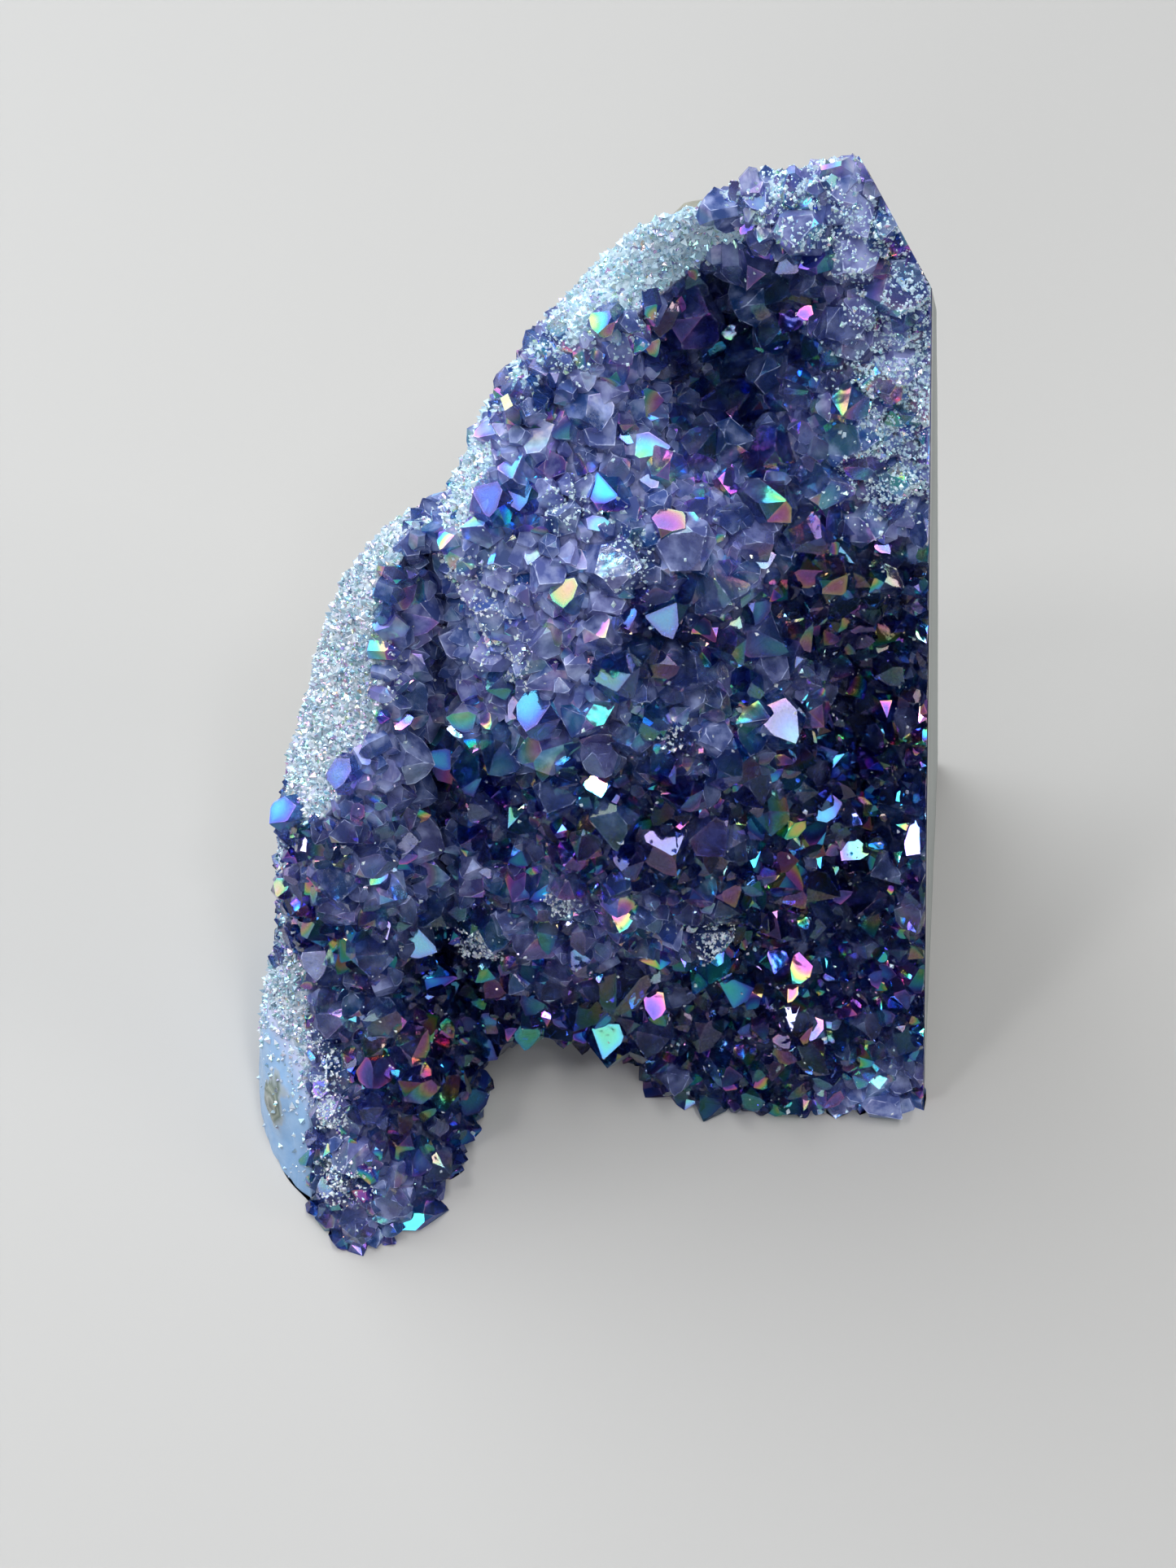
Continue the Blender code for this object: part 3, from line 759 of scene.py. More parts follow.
@dataclass(frozen=True)
class GeodeStone:
    """The stone behind the crystals: dark quartz under them, its near black partly painted shade between the
    crystals, ground quartz, agate, sawn face and rind.

    Each noise is given by its scale and detail, and cells by their scale.
    """

    name: str = "geode_stone"
    # Near black under the crystals: partly painted shade in the gaps between them.
    dark_and_painted_shade: Colour = (0.006, 0.016, 0.075)
    pale_and_painted_light: Colour = (0.24, 0.27, 0.52)
    agate_haze: Colour = (0.43, 0.56, 0.72)
    saw_dust: Colour = (0.55, 0.56, 0.54)
    saw_marks: tuple[float, float, float] = (40.0, 900.0, 40.0)
    broad: Span = (90.0, 4.0)
    fine: Span = (700.0, 5.0)
    crust: Span = (45.0, 9.0)
    marks: Span = (1.0, 2.0)
    grain_cells: float = 1500.0
    fleck_cells: float = 3200.0
    pore_cells: float = 520.0
    grain_mix: Span = (0.7, 0.35)
    knob_mix: Span = (0.7, 0.3)
    knob_span: Span = (0.32, 0.68)
    middling: Span = (0.3, 0.7)
    haze_share: float = 0.35
    dust_share: float = 0.30
    polish_span: Span = (0.12, 0.30)
    pit_span: Span = (0.02, 0.10)
    layer_waver: float = 0.05
    pore_width: float = 0.45
    fine_height: float = 0.25
    fleck_height: float = 0.2
    pore_height: float = 0.9
    mark_height: float = 0.15
    bump_height: float = 0.4 * MM
    flash_height: float = 0.5 * MM
    film_paleness: float = 0.3
    film_roughness: float = 0.2
    stone_roughness: float = 0.62
    quartz_roughness: float = 0.26
    flash_threshold: float = 0.74
    rim_flashes: float = 0.75
    front_flashes: float = 0.12

    def build(self) -> bpy.types.Material:
        """The material: front, agate, pit, sawn and rind by their attributes, and ground quartz elsewhere."""
        s = Shader(self.name)
        front, agate, pit, deep = (s.attribute(key) for key in ("front", "agate", "pit", "deep"))
        sawn, rind, milk = (s.attribute(key) for key in ("sawn", "rind", "milk"))
        broad, fine, crust = s.noise(*self.broad), s.noise(*self.fine), s.noise(*self.crust)
        stretched = s.node("ShaderNodeMapping", {}, {"Vector": s.place(), "Scale": self.saw_marks})
        marks = s.noise(*self.marks, stretched)
        grains, flecks = s.cells(self.grain_cells), s.cells(self.fleck_cells)
        grain = s.channel(grains.outputs["Color"])
        dome = 1.0 - Value(s, grains.outputs["Distance"])
        fleck, hue = s.channel(flecks.outputs["Color"]), s.channel(flecks.outputs["Color"], "Green")

        mixed = grain * self.grain_mix[0] + broad * self.grain_mix[1]
        # Painted reflection: the ground quartz turns sky blue towards the head of the stone.
        ground = s.with_painted_sky_reflection(s.ramp(mixed.held(), GRAIN_STOPS))
        haze = s.span(fine, *self.middling, 0.0, self.haze_share)
        polished = s.span(agate, *self.polish_span)
        colour = s.mix(polished, ground, s.mix(haze, s.ramp(agate, AGATE_STOPS), self.agate_haze))
        # The pit's bands darken to its floor: the dark floor is painted shade.
        colour = s.mix(s.span(pit, *self.pit_span), colour, s.ramp(pit, PIT_BANDS_AND_SHADE_STOPS))
        knobs = s.span(crust * self.knob_mix[0] + fine * self.knob_mix[1], *self.knob_span)
        colour = s.mix(rind, colour, s.ramp(knobs, RIND_STOPS))
        layers = s.ramp((deep + (broad - 0.5) * self.layer_waver).held(), LAYER_STOPS)
        cut = s.mix(s.span(marks, *self.middling, 0.0, self.dust_share), layers, self.saw_dust)
        colour = s.mix(sawn * (1.0 - polished), colour, cut)
        # Painted light and shade: under the crystals the stone runs from near black to pale by the cloudiness
        # map.
        colour = s.mix(front, colour, s.mix(milk, self.dark_and_painted_shade, self.pale_and_painted_light))

        lively = (1.0 - polished) * (1.0 - sawn) * (1.0 - rind) * (1.0 - front)
        gaps = s.cells(self.pore_cells).outputs["Distance"]
        pores = s.span(gaps, 0.0, self.pore_width) * rind * (1.0 - sawn)
        height = fine * self.fine_height + dome * (lively + front) + fleck * lively * self.fleck_height
        height = height + pores * self.pore_height + marks * sawn * self.mark_height
        stone = s.principled({
            "Base Color": colour,
            "Roughness": s.span(lively + agate, 0.0, 1.0, self.stone_roughness, self.quartz_roughness),
            "Normal": s.bump(height, self.bump_height),
        })
        film = s.principled({
            "Base Color": s.mix(self.film_paleness, s.ramp(hue, FILM_STOPS), WHITE),
            "Metallic": 1.0, "Roughness": self.film_roughness,
            "Normal": s.bump(dome + fleck * 0.5, self.flash_height),
        })
        flashes = (fleck > self.flash_threshold) * (lively * self.rim_flashes + front * self.front_flashes)
        return s.finish(s.blend(flashes, stone, film))


@dataclass(frozen=True)
class PaleFloor:
    """The plain floor of the studio."""

    name: str = "pale_floor"
    colour: Colour = (0.47, 0.465, 0.455)
    mottling: float = 0.97
    roughness: float = 0.7

    def build(self) -> bpy.types.Material:
        """A matt pale surface with the faintest mottling."""
        s = Shader(self.name)
        colour = s.mix(s.noise(4.0), self.colour, tuple(c * self.mottling for c in self.colour))
        return s.finish(s.principled({"Base Color": colour, "Roughness": self.roughness}))


# The stone


@dataclass(frozen=True)
class MilkAndPaintedShadingMap:
    """Where the quartz is cloudy and pale, and where it is dark and clear, over the crystal face: partly its
    own cloudiness, partly painted light and painted shade.

    Each patch is given by across, rise, size and strength.
    """

    # Pale patches: cloudy quartz, and painted light that lifts flanks lying in shade.
    pale_and_painted_light: tuple[tuple[float, float, float, float], ...] = (
        (-5.0, 66.0, 9.0, 0.9), (9.0, 68.0, 6.0, 0.7), (-7.0, 57.0, 8.0, 0.6), (2.0, 77.0, 7.0, 0.6),
        (-21.0, 34.0, 7.0, 0.35), (22.0, 76.0, 5.0, 0.8), (-20.0, -2.0, 7.0, 0.5), (14.0, 93.0, 6.0, 0.8),
        (2.0, 88.0, 6.0, 0.6), (-10.0, 50.0, 7.0, 0.5), (14.0, 52.0, 8.0, 0.5), (4.0, 28.0, 10.0, 0.3),
        (25.0, 2.0, 5.0, 0.5), (-13.0, 71.0, 6.0, 0.6), (-27.0, 12.0, 5.0, 0.5), (24.0, 84.0, 4.5, 0.7),
        (25.5, 67.0, 4.5, 0.6), (26.0, 75.0, 4.5, 0.6), (20.0, 92.0, 4.0, 0.5), (30.0, 4.0, 4.5, 0.6),
        (-14.5, 30.0, 4.5, 0.55), (-16.5, 44.0, 5.0, 0.7), (-16.5, 55.0, 4.0, 0.6),
    )
    # Dark patches: clear quartz, and painted shade in valleys and under the overhanging dome.
    dark_and_painted_shade: tuple[tuple[float, float, float, float], ...] = (
        (24.0, 60.0, 4.5, 0.5), (-13.0, 16.0, 5.0, 0.8), (22.0, 30.0, 7.0, 0.9),
        (24.0, 45.0, 5.0, 0.8), (-3.0, 2.0, 9.0, 1.0), (10.0, 8.0, 10.0, 0.8), (20.0, 18.0, 8.0, 0.8),
        (5.0, 60.0, 4.0, 0.5), (-18.0, 60.0, 4.0, 0.5), (21.0, 56.0, 5.0, 0.6), (8.0, 40.0, 5.0, 0.4),
    )

    usual: float = 0.16
    mottling: Unevenness = Unevenness(6.0, 0.24, 41)

    def read(self, places: Array) -> Array:
        """Paleness from 0 to 1, partly painted light and shade: soft round patches added up, pale less dark,
        with noise.
        """
        total = self.usual + self.mottling.read(np.concatenate([places, places[..., :1] * 0], -1))
        for sign, patches in ((1.0, self.pale_and_painted_light), (-1.0, self.dark_and_painted_shade)):
            for across, rise, size, strength in patches:
                near = np.exp(-((places[..., 0] - across) ** 2 + (places[..., 1] - rise) ** 2) / size**2)
                total = total + sign * strength * near
        return np.clip(total, 0.0, 1.0)


@dataclass(frozen=True)
class Agate:
    """The agate of the left foot, a soft oval in across and rise, and the worn pit in it."""

    across: float = -32.0
    rise: float = -1.0
    half_width: float = 7.0
    half_height: float = 13.0
    pit_rise: float = 4.4
    pit_out: float = 3.5
    pit_half_rise: float = 3.3
    pit_half_out: float = 1.7
    pit_depth: float = 0.9
    pit_slant: float = 0.25
    pit_steepness: float = 0.7
    pit_limit: float = -26.0
    pit_edge: Unevenness = Unevenness(1.6, 0.45, 77, 2)

    def share(self, places: Array) -> Array:
        """How much of the stone is agate: near 1 inside the oval, falling to 0 past its edge."""
        across = (places[..., 0] - self.across) / self.half_width
        rise = (places[..., 1] - self.rise) / self.half_height
        return np.exp(-((across**2 + rise**2) ** 3))

    def pit_share(self, places: Array) -> Array:
        """How deep the worn pit is, from 0 to 1: a ragged slanting oval in rise and out."""
        rise = places[..., 1] - self.pit_rise
        turned = places[..., 2] - self.pit_out + self.pit_slant * rise
        q = (rise / self.pit_half_rise) ** 2 + (turned / self.pit_half_out) ** 2 + self.pit_edge.read(places)
        worn = np.clip(1.0 - q, 0.0, 1.0) ** self.pit_steepness
        return np.where(places[..., 0] < self.pit_limit, worn, 0.0)


@dataclass
class GeodeWall:
    """The wall of the geode, one closed surface: bare face, ground rim, sides, natural back and saw cuts."""

    slab: SlabFrame
    relief: Relief
    cuts: SawCuts
    milk: MilkAndPaintedShadingMap
    agate: Agate = field(default_factory=Agate)
    around: int = 440
    front_rows: int = 44
    rim_rows: int = 26
    side_rows: int = 50
    back_rows: int = 96
    rim_drop: float = 5.0
    rim_swell: float = 0.24
    side_taper: float = 0.10
    top_taper: float = 0.55
    back_form: tuple[float, ...] = (10.5, 78.0, 17.0, 20.0, 0.0, 5.0)
    back_bulge: tuple[float, ...] = (6.0, 50.0, 45.0, 45.0, 0.0, 5.0)
    back_inset: float = 1.5
    taper_softness: int = 12
    back_softness: int = 9
    straight: tuple[float, float, float] = (0.12, 0.3, 1.0)
    middle_line: Span = (0.55, 0.45)
    rind_slope: float = 1.3
    rind_start: float = 3.2
    lumps: Unevenness = Unevenness(3.4, 0.7, 5)
    swells: Unevenness = Unevenness(9.0, 0.5, 15, 2)
    grit: Unevenness = Unevenness(0.9, 0.16, 9, 2)
    rind_share: float = 0.8
    rim_share: float = 0.15
    agate_smoothness: float = 0.9
    cut_fade: float = 1.5
    sawn_reach: float = 0.02
    layer_depth: float = 12.0
    middle: tuple[float, float] = (4.0, 45.0)
    back_middle: tuple[float, float] = (6.0, 55.0)
    rim: tuple[Array, Array, Array] | None = None

    def behind(self, flat: Array) -> Array:
        """Slab places of the natural back from across and rise."""
        swell = Relief.lump(flat, self.back_bulge) + Relief.lump(flat, self.back_form)
        return np.concatenate([flat, (-self.relief.depth(flat[..., 1]) - swell)[..., None]], -1)

    def stations(self) -> list[Array]:
        """The closed lines that the surface is carried over, from the crystals' edge to the back's edge.

        The first and the last end at the saw cuts. Those between run past them and are cut afterwards.
        """
        outline = self.relief.ring(self.around)
        widest, rim = outline[:, :2], outline[:, 2]
        edge = inset(widest, rim)
        depth = self.relief.depth(widest[:, 1])
        drop = np.minimum(self.rim_drop, 0.5 * depth)
        upwards = np.clip(-(inset(widest, 1.0) - widest)[:, 1], 0.0, 1.0)
        taper = softened((self.side_taper + self.top_taper * upwards) * (depth - drop), self.taper_softness)
        back = inset(widest, taper + self.back_inset)
        for _ in range(2):
            back = softened(back, self.back_softness)
        edge_out = self.relief.out(edge)
        first, sawn = self.cuts.along(self.relief.on_face, np.array(self.middle), edge)
        last, _ = self.cuts.along(self.behind, np.array(self.back_middle), back)
        half_out = -(drop + depth) / 2
        between = [
            (inset(widest, rim * (0.5 - self.rim_swell)), (edge_out - drop) / 2 + self.rim_swell * rim),
            (widest, -drop),
            (self.middle_line[0] * widest + self.middle_line[1] * back, half_out),
        ]
        found = [first]
        for (flat, out), share in zip(between, self.straight):
            straight = first[:, 2] + share * (half_out - first[:, 2])
            found.append(np.concatenate([flat, np.where(sawn > 0.5, straight, out)[:, None]], 1))
        return [*found, last]

    @staticmethod
    def arc(a: Array, b: Array, c: Array, rows: int) -> Array:
        """Rows from a to c on the parabola that passes through b halfway."""
        handle = 2.0 * b - (a + c) / 2.0
        t = np.linspace(0.0, 1.0, rows + 1)[1:, None, None]
        return (1 - t) ** 2 * a + 2 * t * (1 - t) * handle + t**2 * c

    def surface(self) -> tuple[Array, dict[str, Array]]:
        """Every row of the surface, from the middle of the face round to the middle of the back.

        Returns:
            Places in the slab frame by row and column, and the zone numbers of each.
        """
        edge, rim, widest, middle, back = self.stations()
        centre = np.array(self.middle)
        share = np.linspace(0.0, 1.0, self.front_rows + 1)[1:, None, None]
        front = self.relief.on_face(centre + (edge[None, :, :2] - centre) * share)
        front[-1] = edge
        rim_part = self.arc(edge, rim, widest, self.rim_rows)
        side = self.arc(widest, middle, back, self.side_rows)
        share = np.linspace(1.0, 0.0, self.back_rows + 1)[1:-1, None, None]
        centre = np.array(self.back_middle)
        behind = self.behind(centre + (back[None, :, :2] - centre) * share)
        rows = np.concatenate([front, rim_part, side, behind])
        steps = np.concatenate([
            np.zeros(self.front_rows), np.linspace(0, 2, self.rim_rows), np.linspace(2, 4, self.side_rows),
            np.full(self.back_rows - 1, 4.0),
        ])
        whole = np.ones(rows.shape[:2])
        zones = {
            "front": whole * (np.arange(len(rows)) < self.front_rows)[:, None],
            "rind": whole * np.clip(self.rind_slope * steps - self.rind_start, 0.0, 1.0)[:, None],
        }
        return rows, zones

    def build(self, material: bpy.types.Material) -> bpy.types.Object:
        """Makes the wall: its noise and the pit are sunk along the normal, and then the cuts are made."""
        rows, zones = self.surface()
        free = np.clip(-self.cuts.beyond(rows).max(-1) / self.cut_fade, 0.0, 1.0)
        natural = (zones["rind"] * self.rind_share + (1 - zones["front"]) * self.rim_share) * free
        quiet = 1.0 - self.agate_smoothness * self.agate.share(rows)
        shift = (self.lumps.read(rows) + self.swells.read(rows)) * natural
        shift = shift + self.grit.read(rows) * free * quiet
        shift = shift + self.agate.pit_depth * self.agate.pit_share(rows)
        along = np.gradient(rows, axis=1)
        across = np.gradient(rows, axis=0)
        normal = np.cross(across, along)
        normal /= np.maximum(np.linalg.norm(normal, axis=-1, keepdims=True), TINY)
        rows = self.cuts.inwards(np.array(self.middle), rows - normal * shift[..., None])
        rows = self.cuts.trim(self.cuts.sharpen(rows))
        ends = [rows[0].mean(0), rows[-1].mean(0)]
        self.rim = (rows, normal, free * (1 - zones["front"]) * np.clip(1 - 2 * zones["rind"], 0, 1))
        places = np.concatenate([ends[0][None], rows.reshape(-1, 3), ends[1][None]])
        loops, starts = self.faces(len(rows), rows.shape[1])
        depth = self.relief.out(places[:, :2]) - places[:, 2]
        attributes = {
            "milk": ("POINT", self.milk.read(places[:, :2])),
            "agate": ("POINT", self.agate.share(places)),
            "sawn": ("POINT", (self.cuts.beyond(places) > -self.sawn_reach).any(-1)),
            "pit": ("POINT", self.agate.pit_share(places)),
            "deep": ("POINT", np.clip(depth, 0.0, self.layer_depth) / self.layer_depth),
        }
        for key, values in zones.items():
            attributes[key] = ("POINT", np.concatenate([values[:1, 0], values.ravel(), values[-1:, 0]]))
        at = self.slab.to_part(places)
        return add_piece("geode_wall", at, loops, starts, attributes, material, Slot.GEODE_RIND, True)

    def rim_sites(self, odds: Array, count: int, rng: np.random.Generator) -> tuple[Array, Array]:
        """Random places on the ground rim with the normals there.

        Args:
            odds: how likely each place of the rim's grid is, for its area.
            count: how many.
            rng: random numbers.

        Returns:
            Places and outward normals.
        """
        rows, normal, weight = self.rim
        ways = [np.gradient(rows, axis=k).reshape(-1, 3) for k in (0, 1)]
        area = np.linalg.norm(ways[0], axis=-1) * np.linalg.norm(ways[1], axis=-1)
        share = weight.ravel() * area * odds.ravel()
        chosen = rng.choice(len(share), count, p=share / share.sum())
        shift = rng.uniform(-0.5, 0.5, (2, count, 1))
        places = rows.reshape(-1, 3)[chosen] + shift[0] * ways[0][chosen] + shift[1] * ways[1][chosen]
        return places, -normal.reshape(-1, 3)[chosen]

    @staticmethod
    def faces(rows: int, columns: int) -> tuple[NDArray[np.int64], NDArray[np.int64]]:
        """Faces of a closed surface of rows between two poles: triangles at the poles, four-sided between."""
        k = np.arange(columns)
        j = (k + 1) % columns
        first = np.stack([np.zeros(columns, int), 1 + j, 1 + k], 1)
        base = 1 + np.arange(rows - 1)[:, None] * columns
        quads = np.stack([base + k, base + j, base + columns + j, base + columns + k], -1).reshape(-1, 4)
        last = 1 + (rows - 1) * columns
        final = np.stack([np.full(columns, last + columns), last + k, last + j], 1)
        loops = np.concatenate([first.ravel(), quads.ravel(), final.ravel()])
        counts = np.concatenate([np.full(columns, 3), np.full(len(quads), 4), np.full(columns, 3)])
        return loops, np.concatenate([[0], np.cumsum(counts)[:-1]])


# Crystals


@dataclass
class Stand:
    """A stand of crystals: where each grows, which way it leans and how large it is, one row to a crystal.

    Milk (cloudiness with painted light and shade), tone, film, drift and glow drive its looks, and shift
    moves its tip off its axis, in radii.
    """

    places: Array
    axis: Array
    facing: Array
    radius: Array
    reach: Array
    milk: Array
    tone: Array
    film: Array
    drift: Array
    glow: Array
    shift: Array

    def __len__(self) -> int:
        """How many crystals."""
        return len(self.radius)


@dataclass(frozen=True)
class QuartzForm:
    """The shape of a quartz crystal: six sides, three large and three small faces that meet in a point."""

    FIRST_FOOT, FIRST_SHOULDER, FIRST_ROOT, FIRST_MIDDLE = 4, 10, 16, 22
    FACETS = 13
    POINT_TRIANGLES = 30
    slope: float = math.tan(math.radians(51.8))
    root: float = 1.4
    root_narrowing: float = 0.92
    side_distance: Span = (0.78, 1.22)
    least_push: float = 0.03
    most_push: float = 9.0
    head_clearance: float = 0.02
    foot_clearance: float = 0.06
    push_odds: Span = (0.55, 0.55)

    def corners(self, stand: Stand, rng: np.random.Generator) -> Array:
        """Corners of every crystal in its own frame, worked out from its faces.

        Each side k stands at its own distance along the direction 60 k degrees. The large faces fall from
        the tip with the slope of quartz over the even sides. A small face stands over each odd side, a
        little further out, and cuts off the edge where two large faces meet.

        Args:
            stand: the crystals.
            rng: random numbers.

        Returns:
            Crystals by 28 corners by 3, in millimetres: tip, 3 tops of the small faces, 6 feet of the small
            faces, 6 shoulders, 6 roots, and the middles of the 6 faces that meet in the point.
        """
        count = len(stand)
        angles = np.radians(60.0 * np.arange(6))
        ways = np.stack([np.cos(angles), np.sin(angles)], 1)
        side = rng.uniform(*self.side_distance, (count, 6))
        tip = stand.shift
        slope = self.slope
        shoulders = []
        for k in range(6):
            a, b = side[:, k], side[:, (k + 1) % 6]
            u, w = ways[k], ways[(k + 1) % 6]
            turn = u[0] * w[1] - u[1] * w[0]
            shoulders.append(np.stack([(a * w[1] - b * u[1]) / turn, (b * u[0] - a * w[0]) / turn], 1))
        heads, feet = [], []
        for k in (1, 3, 5):
            a, way = side[:, k], ways[k]
            low = np.full(count, self.least_push)
            high = np.full(count, self.most_push)
            gains = []
            for j in (k - 1, (k + 1) % 6):
                lead = tip @ (ways[j] - way)
                gains.append(lead)
                low = np.maximum(low, a - side[:, j] + lead + self.head_clearance)
                high = np.minimum(high, a / 2 + lead - self.foot_clearance)
            push = low + np.clip(high - low, 0.0, None) * rng.beta(*self.push_odds, count)
            head = tip + (2.0 * push)[:, None] * way
            heads.append(np.concatenate([head, -slope * push[:, None]], 1))
            tangent = np.array([-way[1], way[0]])
            for sign, lead in zip((-1.0, 1.0), gains):
                reach = (a / 2 + lead - push) * 2.0 / math.sqrt(3.0)
                foot = a[:, None] * way + sign * reach[:, None] * tangent
                height = slope * push - slope * ((foot - tip) @ way)
                feet.append(np.concatenate([foot, height[:, None]], 1))
        tops, roots = [], []
        for k in range(6):
            even = k if k % 2 == 0 else (k + 1) % 6
            height = -slope * ((shoulders[k] - tip) @ ways[even])
            tops.append(np.concatenate([shoulders[k], height[:, None]], 1))
            roots.append(np.concatenate([shoulders[k] * self.root_narrowing, np.zeros((count, 1))], 1))
        corners = np.stack([np.concatenate([tip, np.zeros((count, 1))], 1), *heads, *feet, *tops, *roots], 1)
        corners *= stand.radius[:, None, None]
        corners[:, :, 2] += stand.reach[:, None]
        corners[:, self.FIRST_ROOT:, 2] = -self.root * stand.radius[:, None]
        middles = [corners[:, face].mean(1, keepdims=True) for face in self.point_faces()]
        return np.concatenate([corners, *middles], 1)

    def point_faces(self) -> list[list[int]]:
        """The three large and three small faces of the point by their corners."""
        tops = {1: 1, 3: 2, 5: 3}
        feet = {k: (self.FIRST_FOOT + k - 1, self.FIRST_FOOT + k) for k in tops}
        faces = []
        for k in (0, 2, 4):
            before, after = (k - 1) % 6, k + 1
            shoulders = [self.FIRST_SHOULDER + before, self.FIRST_SHOULDER + k]
            faces.append([0, tops[before], feet[before][1], *shoulders, feet[after][0], tops[after]])
        return faces + [[tops[k], *feet[k]] for k in tops]

    def pattern(self) -> tuple[list[list[int]], list[int]]:
        """The faces of one crystal by their corners, and the facet that each belongs to.

        The facets of the point are fans of triangles about their middles, so that a number kept at the
        corners runs from the middle of a facet to its edge. Sides and root are one face each.
        """
        faces, facets = [], []
        for k, ring in enumerate(self.point_faces()):
            for a, b in zip(ring, ring[1:] + ring[:1]):
                faces.append([self.FIRST_MIDDLE + k, a, b])
                facets.append(k)
        shoulder, root = self.FIRST_SHOULDER, self.FIRST_ROOT
        for k in range(6):
            before = (k - 1) % 6
            side = [shoulder + before, root + before, root + k, shoulder + k]
            foot = self.FIRST_FOOT + k - 1
            faces.append(side if k % 2 == 0 else [*side, foot + 1, foot])
            facets.append(6 + k)
        faces.append([root + k for k in range(5, -1, -1)])
        return faces, [*facets, self.FACETS - 1]

    def place(self, corners: Array, stand: Stand) -> Array:
        """Crystals turned so that their axis lies along stand.axis and side 0 faces stand.facing."""
        axis = stand.axis / np.linalg.norm(stand.axis, axis=1, keepdims=True)
        facing = stand.facing - (stand.facing * axis).sum(1, keepdims=True) * axis
        facing /= np.linalg.norm(facing, axis=1, keepdims=True)
        third = np.cross(axis, facing)
        frame = np.stack([facing, third, axis], 1)
        return stand.places[:, None, :] + np.einsum("nij,njk->nik", corners, frame)


